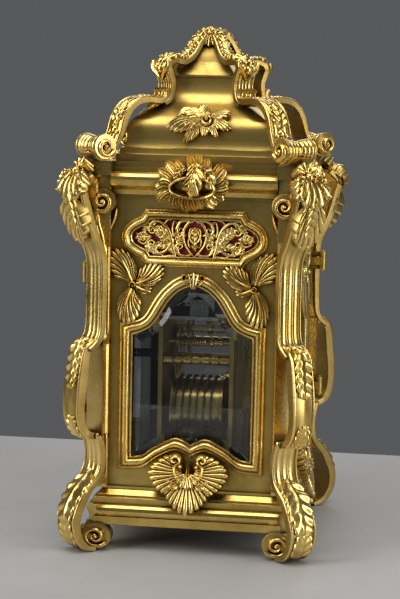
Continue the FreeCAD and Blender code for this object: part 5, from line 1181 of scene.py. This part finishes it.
# ------------------------------------------------------------------ leaves beside the arch
def spandrel(F, sy):
    c = Cast()
    m = lambda *P: [(sy * a, z) for a, z in P]
    C0 = (34.6, 153.4)
    ev = [0.8, 1, 1, 0.84, 0.6]
    # each leaf: a feathered blade whose ribs spread from the shared spiral, with a raised spine
    for ang, R, half, nr, hh in ((72, 23.0, 41, 10, 2.9), (160, 20.4, 38, 10, 2.7), (-68, 23.2, 37, 10, 2.7), (208, 11.0, 36, 6, 2.2)):
        fan(c, F, sy * C0[0], C0[1], ang - half, ang + half, lambda q, R=R: R * (0.46 + 0.54 * math.sin(pi * min(1, max(0, q * 0.96 + 0.02))) ** 1.35), nr, hh, -0.3, r0=2.2, lift=0.1, curl=0.3, deep=0.16, rows=13, swirl=-0.22, side=sy)
        A0, A1 = rad(ang - 1), rad(ang - 12)
        P = [(sy * (C0[0] + R * t_ * math.cos(A0 + (A1 - A0) * t_ * t_)), C0[1] + R * t_ * math.sin(A0 + (A1 - A0) * t_ * t_)) for t_ in (0.1, 0.4, 0.7, 0.93)]
        petal(c, F, P, 1.3, hh + 0.9, -0.3, n=16, m=9, W=([0, 0.5, 1], [1, 0.8, 0.35]), curl=0.3)
    volute(c, F, sy * C0[0], C0[1], 3.0, 1.2, 0.85, 3.8, side=sy, a0=rad(200), base=-0.3, h_in=4.2)
    return c


sp = Cast()
for sg in (1, -1):
    for sy in (-1, 1):
        sp.join(spandrel(on_side(62.5, sg), sy))
make("spandrel_leaves", sp, gilt, replaces=("spandrel_mounts",))

# ------------------------------------------------------------------ shell under each window
SH_P = [(66.6, 58.0), (66.9, 51.0), (69.2, 44.0), (72.6, 36.0), (75.6, 29.0), (76.6, 24.0), (76.0, 21.0)]


SH_D = [(58.0, 58.0), (58.3, 51.0), (59.8, 44.0), (62.0, 36.0), (63.8, 29.0), (64.3, 24.0), (63.8, 21.0)]


class Over:
    """a track whose castings have a shallow back"""

    def __init__(self, T, back):
        self.T, self.back, self.at = T, back, T.at

    def __call__(self, a, b, h):
        return self.T(a, b, np.maximum(h, self.back))


def shell(sg, T=None):
    c = Cast()
    T = T or Track(SH_P, put_x(sg), flip=1)
    s0 = T.at(45.0)
    # b grows downwards: the fan hangs from the middle, its wings rise to both sides
    fan(c, T, 0, s0 - 1.0, 38, 142, lambda q: 24.2 - 7.2 * abs(2 * q - 1) ** 0.85, 11, 2.8, -4.5, r0=3.0, lift=0.2, curl=-0.2, deep=0.09)
    for sy in (-1, 1):
        fan(c, T, 0.5 * sy, s0 - 1.0, -14, 44, lambda q: 22.6 - 6.6 * abs(q - 0.25), 6, 2.7, -2.6, r0=3.0, lift=0.9, curl=0.4, deep=0.08, side=sy)
        fan(c, T, 1.0 * sy, s0 - 2.0, -52, -8, lambda q: 13.0 + 7.4 * q, 4, 2.4, -2.2, r0=3.0, lift=0.6, deep=0.08, side=sy)
        # volutes on top
        P = [(sy * 0.4, s0 + 8.0), (sy * 3.4, s0 + 4.4), (sy * 7.0, s0 + 0.6), (sy * 8.2, s0 - 4.0), (sy * 5.6, s0 - 7.4)]
        stroke(c, T, curl_pts(P, sy, 2.9, 1.2), 1.5, 4.3, -2.0, n=50, m=9)
        bead(c, T, sy * 4.7, s0 - 4.9, 1.9, 4.6, -1.0)
        leaf(c, T, [(sy * 1.6, s0 + 5.0), (sy * 7.4, s0 + 6.6), (sy * 12.6, s0 + 4.2)], 2.4, nl=4, ang=50, h=2.0, base=-1.0, lift=2.2)
    fan(c, T, 0, s0 - 1.5, 20, 160, lambda q: 10.6 - 2.0 * abs(2 * q - 1), 7, 2.0, -1.0, r0=2.0, lift=2.4, deep=0.2)
    petal(c, T, [(0, s0 - 7.0), (0, s0 - 1), (0, s0 + 5)], 1.6, 5.4, -1.5, n=12, groove=0.3)
    return c


sh = Cast()
for sg in (1, -1):
    sh.join(shell(sg))
make("shells", sh, gilt, replaces=("shell_mounts",))

# ------------------------------------------------------------------ plume wreath over each face
WR_P = [(66.4, 194.6), (68.6, 198.4), (73.6, 203.4), (76.6, 209.0), (76.9, 214.0), (74.4, 219.4), (70.4, 224.6), (66.6, 229.6), (64.6, 232.6)]


def wreath(off=0.0, put=None):
    c = Cast()
    T = Track([(r + off, z) for r, z in WR_P], put, flip=-1)
    s0 = T.at(210.0)
    N_ = 21
    for i in range(N_):
        a = 2 * pi * (i + 0.5 + 0.22 * math.sin(i * 2.3)) / N_
        up = math.sin(a)
        Ro = 20.6 + 1.4 * math.sin(i * 1.9) - (3.4 if up < -0.5 else 0.0) + (1.2 if up > 0.5 else 0.0)
        ci, si = math.cos(a), math.sin(a)
        p0 = (11.6 * ci, s0 + 4.6 * si)
        a2 = a + 0.13
        p2 = (Ro * math.cos(a2), s0 + Ro * 0.97 * math.sin(a2))
        p1 = ((p0[0] + p2[0]) / 2 + 1.1 * math.sin(a), (p0[1] + p2[1]) / 2 - 1.1 * math.cos(a))
        petal(c, T, [p0, p1, p2], 3.0, 2.3, -3.0, n=16, m=19, W=([0, 0.3, 0.65, 0.85, 0.95, 1], [0.55, 0.85, 1.0, 0.85, 0.5, 0.1]), flutes=3.5, lift=-0.9 + 0.5 * (i % 2), curl=0.7)
    # rolled inner lip
    k = np.linspace(0, 2 * pi, 64)
    P = np.stack([12.6 * np.cos(k), s0 + 5.2 * np.sin(k)], 1)
    stroke(c, T, P, 1.0, 3.0, -2.5, n=90, m=9, W=([0, 1], [1, 1]))
    # leaf that dips into the opening from above
    leaf(c, T, [(0.5, s0 + 15.0), (1.4, s0 + 8.0), (0.4, s0 + 2.6), (-2.2, s0 - 0.8)], lambda t: 5.6 * np.interp(t, [0, 0.3, 0.7, 1], [0.7, 1, 0.9, 0.5]), nl=5, ang=44, h=2.4, base=-2.4,
         lift=lambda t: 0.8 + 2.2 * math.sin(t * pi * 0.8), rib=0.6)
    leaf(c, T, [(3.0, s0 + 11.0), (7.4, s0 + 8.8), (10.4, s0 + 4.6), (9.4, s0 + 0.6)], lambda t: 3.2 * np.interp(t, [0, 0.3, 0.7, 1], [0.6, 1, 0.9, 0.5]), nl=4, ang=46, h=2.2, base=-2.0, lift=1.6)
    leaf(c, T, [(-2.6, s0 + 11.0), (-6.6, s0 + 8.2), (-8.8, s0 + 4.0)], lambda t: 2.8 * np.interp(t, [0, 0.3, 0.7, 1], [0.6, 1, 0.9, 0.5]), nl=4, ang=46, h=2.1, base=-2.0, lift=1.2)
    return c


wr = Cast()
for sg in (1, -1):
    wr.join(wreath(0.0, put_x(sg)))
    wr.join(wreath(-14.0, (lambda r, a, z, sg=sg: np.stack([a, sg * r, z], -1))))
make("plume_wreaths", wr, gilt, replaces=("wreath_mounts",))

# backing seen through the opening; its relief of 0 makes the gilt paint it dark with painted shade
bk = Cast()
for put in (put_x(1), put_x(-1), (lambda r, a, z: np.stack([a, r + 14 * -1, z], -1)), (lambda r, a, z: np.stack([a, -(r - 14), z], -1))):
    k = np.linspace(0, 2 * pi, 40, endpoint=False)
    rows = []
    for q_, d_ in ((1.0, 68.6), (1.0, 71.8), (0.9, 72.2), (0.5, 71.4), (0.02, 71.0)):
        rows.append(put(np.full(40, d_), 11.6 * q_ * np.cos(k), 209.8 + 4.6 * q_ * np.sin(k)))
    bk.grid(np.array(rows), np.full((5, 40), 0.0))
make("wreath_backs", bk, gilt)

# ------------------------------------------------------------------ rocaille leaf on each slope of the dome
DO_P = [(56.3, 234.6), (56.6, 238.0), (56.7, 241.0), (56.0, 244.4), (54.2, 247.4), (51.2, 250.4), (46.4, 253.4), (41.6, 256.4), (38.4, 259.6), (36.6, 263.0)]


def rocaille(off=0.0, put=None):
    c = Cast()
    T0 = Track([(r + off - 0.4, z) for r, z in DO_P], put, flip=-1)
    z = lambda h: T0.at(h)
    zb = z(246.0)
    T = lambda a, b, h: T0(np.asarray(a) * 0.96, (np.asarray(b) - zb) * 0.95 + zb + 1.6, h)
    B = -1.6
    V0 = (6.0, z(246.0))
    volute(c, T, V0[0] - 1.0, V0[1] - 1.0, 4.6, 1.3, 1.15, 3.4, side=1, a0=rad(150), base=B, h_in=4.0, n=60)
    # big curling lobes that sweep to the left
    b0 = V0[1]
    sw = [([(1.0, b0 + 4.0), (-4.0, b0 + 6.4), (-9.4, b0 + 5.4), (-12.4, b0 + 1.6)], 1, 2.1, 1.5),
          ([(0.4, b0 + 1.0), (-3.6, b0 + 3.0), (-7.4, b0 + 1.6), (-8.4, b0 - 2.2)], 1, 1.8, 1.3)]
    for P, sd, r_, w_ in sw:
        stroke(c, T, curl_pts(P, sd, r_, 0.95), w_, 2.9, B, n=44, m=9, W=([0, 0.2, 0.7, 1], [0.6, 1, 0.8, 0.4]), groove=0.2)
    # feathered leaves that spread from the volute, the longest to the left
    for ang, R, half, nr, hh, sw_ in ((174, 24.0, 20, 9, 2.4, 0.30), (136, 18.6, 24, 8, 2.1, 0.34), (96, 14.4, 26, 7, 2.3, 0.30), (207, 18.6, 18, 7, 2.0, 0.26), (38, 14.6, 22, 7, 2.2, -0.24), (-6, 15.2, 21, 7, 2.4, -0.20), (-44, 11.6, 22, 6, 2.0, -0.20), (-112, 9.4, 34, 6, 2.1, 0.2)):
        fan(c, T, 5.0, b0 - 1.0, ang - half, ang + half, lambda q, R=R: R * (0.5 + 0.5 * math.sin(pi * min(1, max(0, q * 0.96 + 0.02))) ** 1.4), nr, hh, B, r0=3.4, lift=0.1, curl=0.7, deep=0.15, rows=12, swirl=sw_)
    for x, b, r_ in ((-2.6, -3.4, 1.4), (11.4, -2.2, 1.2)):
        bead(c, T, x, b0 + b, r_, 2.8, B)
    return c


do = Cast()
for sg in (1, -1):
    do.join(rocaille(0.0, (lambda r, a, z, sg=sg: np.stack([sg * r, sg * a, z], -1))))
    do.join(rocaille(-14.0, (lambda r, a, z, sg=sg: np.stack([-sg * a, sg * r, z], -1))))
make("dome_rocaille", do, gilt, replaces=("dome_mounts",))

# ------------------------------------------------------------------ doors: mouldings, cartouche, leaves, glass
PROF_D = [(0.15, -3.0), (0.15, 0.9), (0.5, 1.5), (1.0, 1.7), (1.4, 1.3), (1.7, 1.7), (2.2, 2.3), (3.0, 2.75), (3.8, 2.8), (4.6, 2.5), (5.2, 1.9), (5.6, 1.3), (5.9, 1.2), (6.3, 1.45), (6.8, 1.4), (7.2, 0.9), (7.4, -0.3), (3.0, -0.6), (0.6, -3.0)]
for tag, sg in (("front", -1), ("rear", 1)):
    F = on_front(54.5, sg)
    w = Cast()
    ring(w, lambda d: win(d, 1.22), PROF_D, F)
    clasp(w, F, 153.3)
    # applied cartouche with a carved cluster over the arch
    ring(w, fretline, [(0.4, -0.3), (0.4, 0.9), (0.9, 1.3), (1.5, 1.2), (1.9, 1.5), (2.5, 2.0), (3.3, 2.1), (4.0, 1.7), (4.5, 0.9), (4.7, -0.3)], F)
    h = Cast()
    fret_half(h, on_front(54.7, sg))
    w.join(h)
    w.join(mirror(h, 0))
    leaf(w, on_front(54.7, sg), [(0, 173.4), (0, 180.0), (0, 186.6)], 1.9, nl=5, ang=46, h=1.3, base=-0.7, rib=0.4, n=8, m=5, ribw=0.5)
    for sy in (-1, 1):
        F0 = on_front(54.5, sg)
        Fk = (lambda a, b, hh, F0=F0: F0(a * 1.16, b, hh * 0.75))
        w.join(spandrel(Fk, sy))
    make("door_ornament_" + tag, w, gilt, body=tag + "_door_body")
    # shell on the lower rail of the door, its tip hanging in front of the plinth
    T = Track(SH_D, (lambda r, a, z, sg=sg: np.stack([a, sg * r, z], -1)), flip=1)
    make("door_shell_" + tag, shell(sg, Over(T, -1.6)), gilt, body=tag + "_door_body")
    g = Cast()
    bevel_glass(g, on_front(49.3, sg), lambda d: win(d, 1.22), 2.2, 1.85, -4.0, 0.9)
    make("door_glass_pane_" + tag, g, glass, body=tag + "_door_body", replaces=(tag + "_door_glass",), angle=8)

# ------------------------------------------------------------------ dial: chapter ring figures, minute track, corner leaves
def strip(M, F, P, w, h0=0.0, h1=0.06, n=2):
    """flat inlaid line"""
    C = spl(P, n)
    T, N = normals2(C)
    a, b = C + N * w, C - N * w
    rows = []
    for i in range(n):
        q = [a[i], b[i], b[i], a[i]]
        hs = [h1, h1, h0, h0]
        rows.append([F(np.array(p[0]), np.array(p[1]), np.array(hh)) for p, hh in zip(q, hs)])
    M.grid(np.array(rows, float).reshape(n, 4, 3), np.full((n, 4), 0.5))


dl = Cast()
Fd = on_front(44.8, -1)
# rings of the minute track
for r_ in (37.0, 34.6, 25.0):
    k = np.linspace(0, 2 * pi, 97)
    strip(dl, Fd, [(r_ * math.cos(q), 105 + r_ * math.sin(q)) for q in k], 0.13 if r_ > 30 else 0.18, n=97)
for i in range(60):
    a = rad(90 - 6 * i)
    r0, r1, w_ = (34.6, 37.0, 0.11) if i % 5 else (34.2, 37.2, 0.28)
    strip(dl, Fd, [(r0 * math.cos(a), 105 + r0 * math.sin(a)), (r1 * math.cos(a), 105 + r1 * math.sin(a))], w_)


def roman(n):
    tab = ((10, "X"), (9, "IX"), (5, "V"), (4, "IIII" if n == 4 else "IV"), (1, "I"))
    s = ""
    for v, t in tab:
        while n >= v:
            s += t
            n -= v
    return s


for hr in range(1, 13):
    txt = roman(hr)
    a = rad(90 - 30 * hr)
    up = np.array([math.cos(a), math.sin(a)])
    rt = np.array([up[1], -up[0]])
    wid = {"I": 1.25, "V": 3.0, "X": 3.0}
    tot = sum(wid[ch] for ch in txt) + 0.25 * (len(txt) - 1)
    sc = min(1.0, 10.5 / tot)
    x = -tot * sc / 2
    for ch in txt:
        w_ = wid[ch] * sc
        cx = x + w_ / 2
        pt = lambda px, pr: tuple(np.array([0, 105.0]) + up * pr + rt * px)
        lo, hi = 26.6, 33.4
        if ch == "I":
            strip(dl, Fd, [pt(cx, lo), pt(cx, hi)], 0.36 * sc)
        elif ch == "V":
            strip(dl, Fd, [pt(cx, lo), pt(cx - w_ * 0.36, hi)], 0.4 * sc)
            strip(dl, Fd, [pt(cx, lo), pt(cx + w_ * 0.36, hi)], 0.14 * sc)
        else:
            strip(dl, Fd, [pt(cx + w_ * 0.36, lo), pt(cx - w_ * 0.36, hi)], 0.4 * sc)
            strip(dl, Fd, [pt(cx - w_ * 0.36, lo), pt(cx + w_ * 0.36, hi)], 0.14 * sc)
        strip(dl, Fd, [pt(x + 0.1, hi), pt(x + w_ - 0.1, hi)], 0.1)
        strip(dl, Fd, [pt(x + 0.1, lo), pt(x + w_ - 0.1, lo)], 0.1)
        x += w_ + 0.25 * sc
make("dial_figures", dl, wax, angle=0)

ds = Cast()
Fp = on_front(44.3, -1)
for sx in (-1, 1):
    for zc_, sz in ((152.0, 1), (58.0, -1)):
        m = lambda *P: [(sx * a, zc_ + sz * b) for a, b in P]
        leaf(ds, Fp, m((44, 7), (36, 4), (28, 3), (20, 6)), 5.0, nl=6, ang=50, h=0.55, base=-0.1, rib=0.3)
        leaf(ds, Fp, m((44, 7), (43, -1), (44, -9), (46, -16)), 4.0, nl=6, ang=50, h=0.55, base=-0.1, rib=0.3)
        volute(ds, Fp, sx * 43.5, zc_ + sz * 6.5, 4.6, 1.5, 0.8, 0.7, side=sx, base=-0.1)
k = np.linspace(0, 2 * pi, 97)
stroke(ds, Fp, [(38.6 * math.cos(q), 105 + 38.6 * math.sin(q)) for q in k], 0.5, 0.75, -0.1, n=120, W=([0, 1], [1, 1]))
stroke(ds, Fp, [(23.5 * math.cos(q), 105 + 23.5 * math.sin(q)) for q in k], 0.4, 0.7, -0.1, n=100, W=([0, 1], [1, 1]))
for r_ in (6.0, 9.0, 12.0, 15.0, 18.0):
    stroke(ds, Fp, [(r_ * math.cos(q), 105 + r_ * math.sin(q)) for q in k], 0.18, 0.14, -0.05, n=80, m=5, W=([0, 1], [1, 1]))
make("dial_ornament", ds, gilt)

# ------------------------------------------------------------------ engraving on the back plate (generic scrollwork)
en = Cast()
Fe = on_front(21.8, 1)


def scroll_line(P, side, r_, turns, w=0.22):
    pts = curl_pts(P, side, r_, turns, n=18)
    C = spl(pts, 44)
    strip(en, Fe, C, w, -0.02, 0.03, n=44)


def sprig(x, z, d, L, sx):
    """one engraved leaf: curved midrib with short veins"""
    dx, dz = math.cos(rad(d)) * sx, math.sin(rad(d))
    nx, nz = -dz, dx
    mid = [(x, z), (x + dx * L * 0.5 + nx * L * 0.12, z + dz * L * 0.5 + nz * L * 0.12), (x + dx * L, z + dz * L)]
    strip(en, Fe, spl(mid, 12), 0.16, -0.02, 0.03, n=12)
    C = spl(mid, 9)
    for i in range(1, 8):
        for s_ in (-1, 1):
            q = L * 0.24 * math.sin(pi * (i + 0.6) / 9)
            strip(en, Fe, [tuple(C[i]), (C[i][0] + dx * q * 0.8 + s_ * nx * q, C[i][1] + dz * q * 0.8 + s_ * nz * q)], 0.1, -0.02, 0.03)


for sx in (-1, 1):
    for (zc_, fl) in ((120, 1), (101, -1), (82, 1), (63, -1)):
        scroll_line([(sx * 2.0, zc_ - 7 * fl), (sx * 9, zc_ - 8 * fl), (sx * 17, zc_ - 4 * fl), (sx * 19.5, zc_ + 3 * fl)], sx * fl, 4.6, 1.5)
        scroll_line([(sx * 17, zc_ - 5 * fl), (sx * 26, zc_ - 7.5 * fl), (sx * 34, zc_ - 4 * fl), (sx * 37.5, zc_ + 2 * fl)], sx * fl, 4.6, 1.5)
        for (x, z, d, L) in ((6, -7.5, 60, 7), (12, -7, 40, 7), (24, -7, 55, 7), (30, -6.4, 35, 6.5), (13, -7.5, -60, 5), (27, -7.4, -50, 5), (40, -2, 60, 5)):
            sprig(sx * x, zc_ + z * fl, d * fl, L, sx)
for d_ in (1.6, 2.4):
    w_, lo, hi = 44 - d_, 43.6 + d_, 131 - d_
    strip(en, Fe, [(-w_, lo), (w_, lo)], 0.12, -0.02, 0.03)
    strip(en, Fe, [(-w_, hi), (w_, hi)], 0.12, -0.02, 0.03)
    strip(en, Fe, [(w_, lo), (w_, hi)], 0.12, -0.02, 0.03)
    strip(en, Fe, [(-w_, lo), (-w_, hi)], 0.12, -0.02, 0.03)
make("plate_engraving", en, wax, angle=0)

# ------------------------------------------------------------------ chain: link plates on the barrel
ch = Cast()
BX_, BZ_, BR = 22.0, 76.0, 19.75
turns = 6
per = 80
for i in range(int(turns * per)):
    a = 2 * pi * i / per
    y = -12.9 + 4.2 * i / per
    d = pi / per * 1.02
    lay = (0.36, -0.36) if i % 2 else (0.0,)
    for oy in lay:
        rows = []
        for q in np.linspace(-1, 1, 5):
            aa = a + q * d
            wv = 0.62 if abs(q) < 0.3 else (0.74 if abs(q) < 0.8 else 0.42)
            r_ = BR
            pt = []
            for dr, dy in ((-wv * 0.5, -0.17), (wv, -0.17), (wv, 0.17), (-wv * 0.5, 0.17)):
                pt.append((BX_ + (r_ + dr) * math.cos(aa), y + oy + dy, BZ_ + (r_ + dr) * math.sin(aa)))
            rows.append(pt)
        ch.grid(np.array(rows), np.full((5, 4), 0.8))
make("fusee_chain", ch, dark_steel, body="barrel_body", replaces=("chain_turns",), angle=30)

# coiled spring on its rod above the barrel
cs_ = Cast()
tube(cs_, [(35.0, -19.6, 118.0), (35.0, 0, 118.0), (35.0, 18.9, 118.0)], 0.8, n=6, m=12)
tt = np.linspace(0, 1, 26 * 12)
hel = np.stack([35.0 + 2.5 * np.cos(tt * 2 * pi * 13), -13.5 + 19.0 * tt, 118.0 + 2.5 * np.sin(tt * 2 * pi * 13)], 1)
c0 = Cast()
tube(c0, hel, 0.42, n=26 * 12, m=6)
lathe(cs_, [(7.0, 0.85), (7.0, 2.8), (8.6, 2.8), (8.8, 1.6), (12.5, 1.6), (12.6, 2.3), (14.0, 2.3), (14.0, 0.85)], (35.0, 0, 118.0))
make("spring_rod", cs_, brass_y)
make("coil_spring", c0, brass_y, angle=60)

# ------------------------------------------------------------------ materials for the CAD nodes that stay
for nm in ("side_panel_right", "side_panel_left", "front_frame", "rear_frame", "front_door", "rear_door"):
    finish_node(nm, satin)
for nm in ("base_plinth", "cornice"):
    finish_node(nm, moulded)
finish_node("base_board", wood)
for nm in ("front_door_knob", "rear_door_knob", "hinge_pins"):
    finish_node(nm, burn)
finish_node("dial", silver)
for nm in ("minute_hand", "hour_hand", "regulator_index", "hairspring"):
    finish_node(nm, blued)
for nm in ("front_plate", "back_plate"):
    finish_node(nm, plate_brass_shaded)
for nm in ("pillars", "spring_barrel", "fusee", "great_wheel", "minute_wheel", "centre_wheel", "third_wheel", "contrate_wheel", "escape_wheel", "balance_wheel"):
    finish_node(nm, brass_y)
for nm in ("barrel_arbor", "mainspring", "chain_run", "pallet_lever"):
    finish_node(nm, steel)
for nm in ("platform", "balance_cock"):
    finish_node(nm, silver if nm == "platform" else steel)
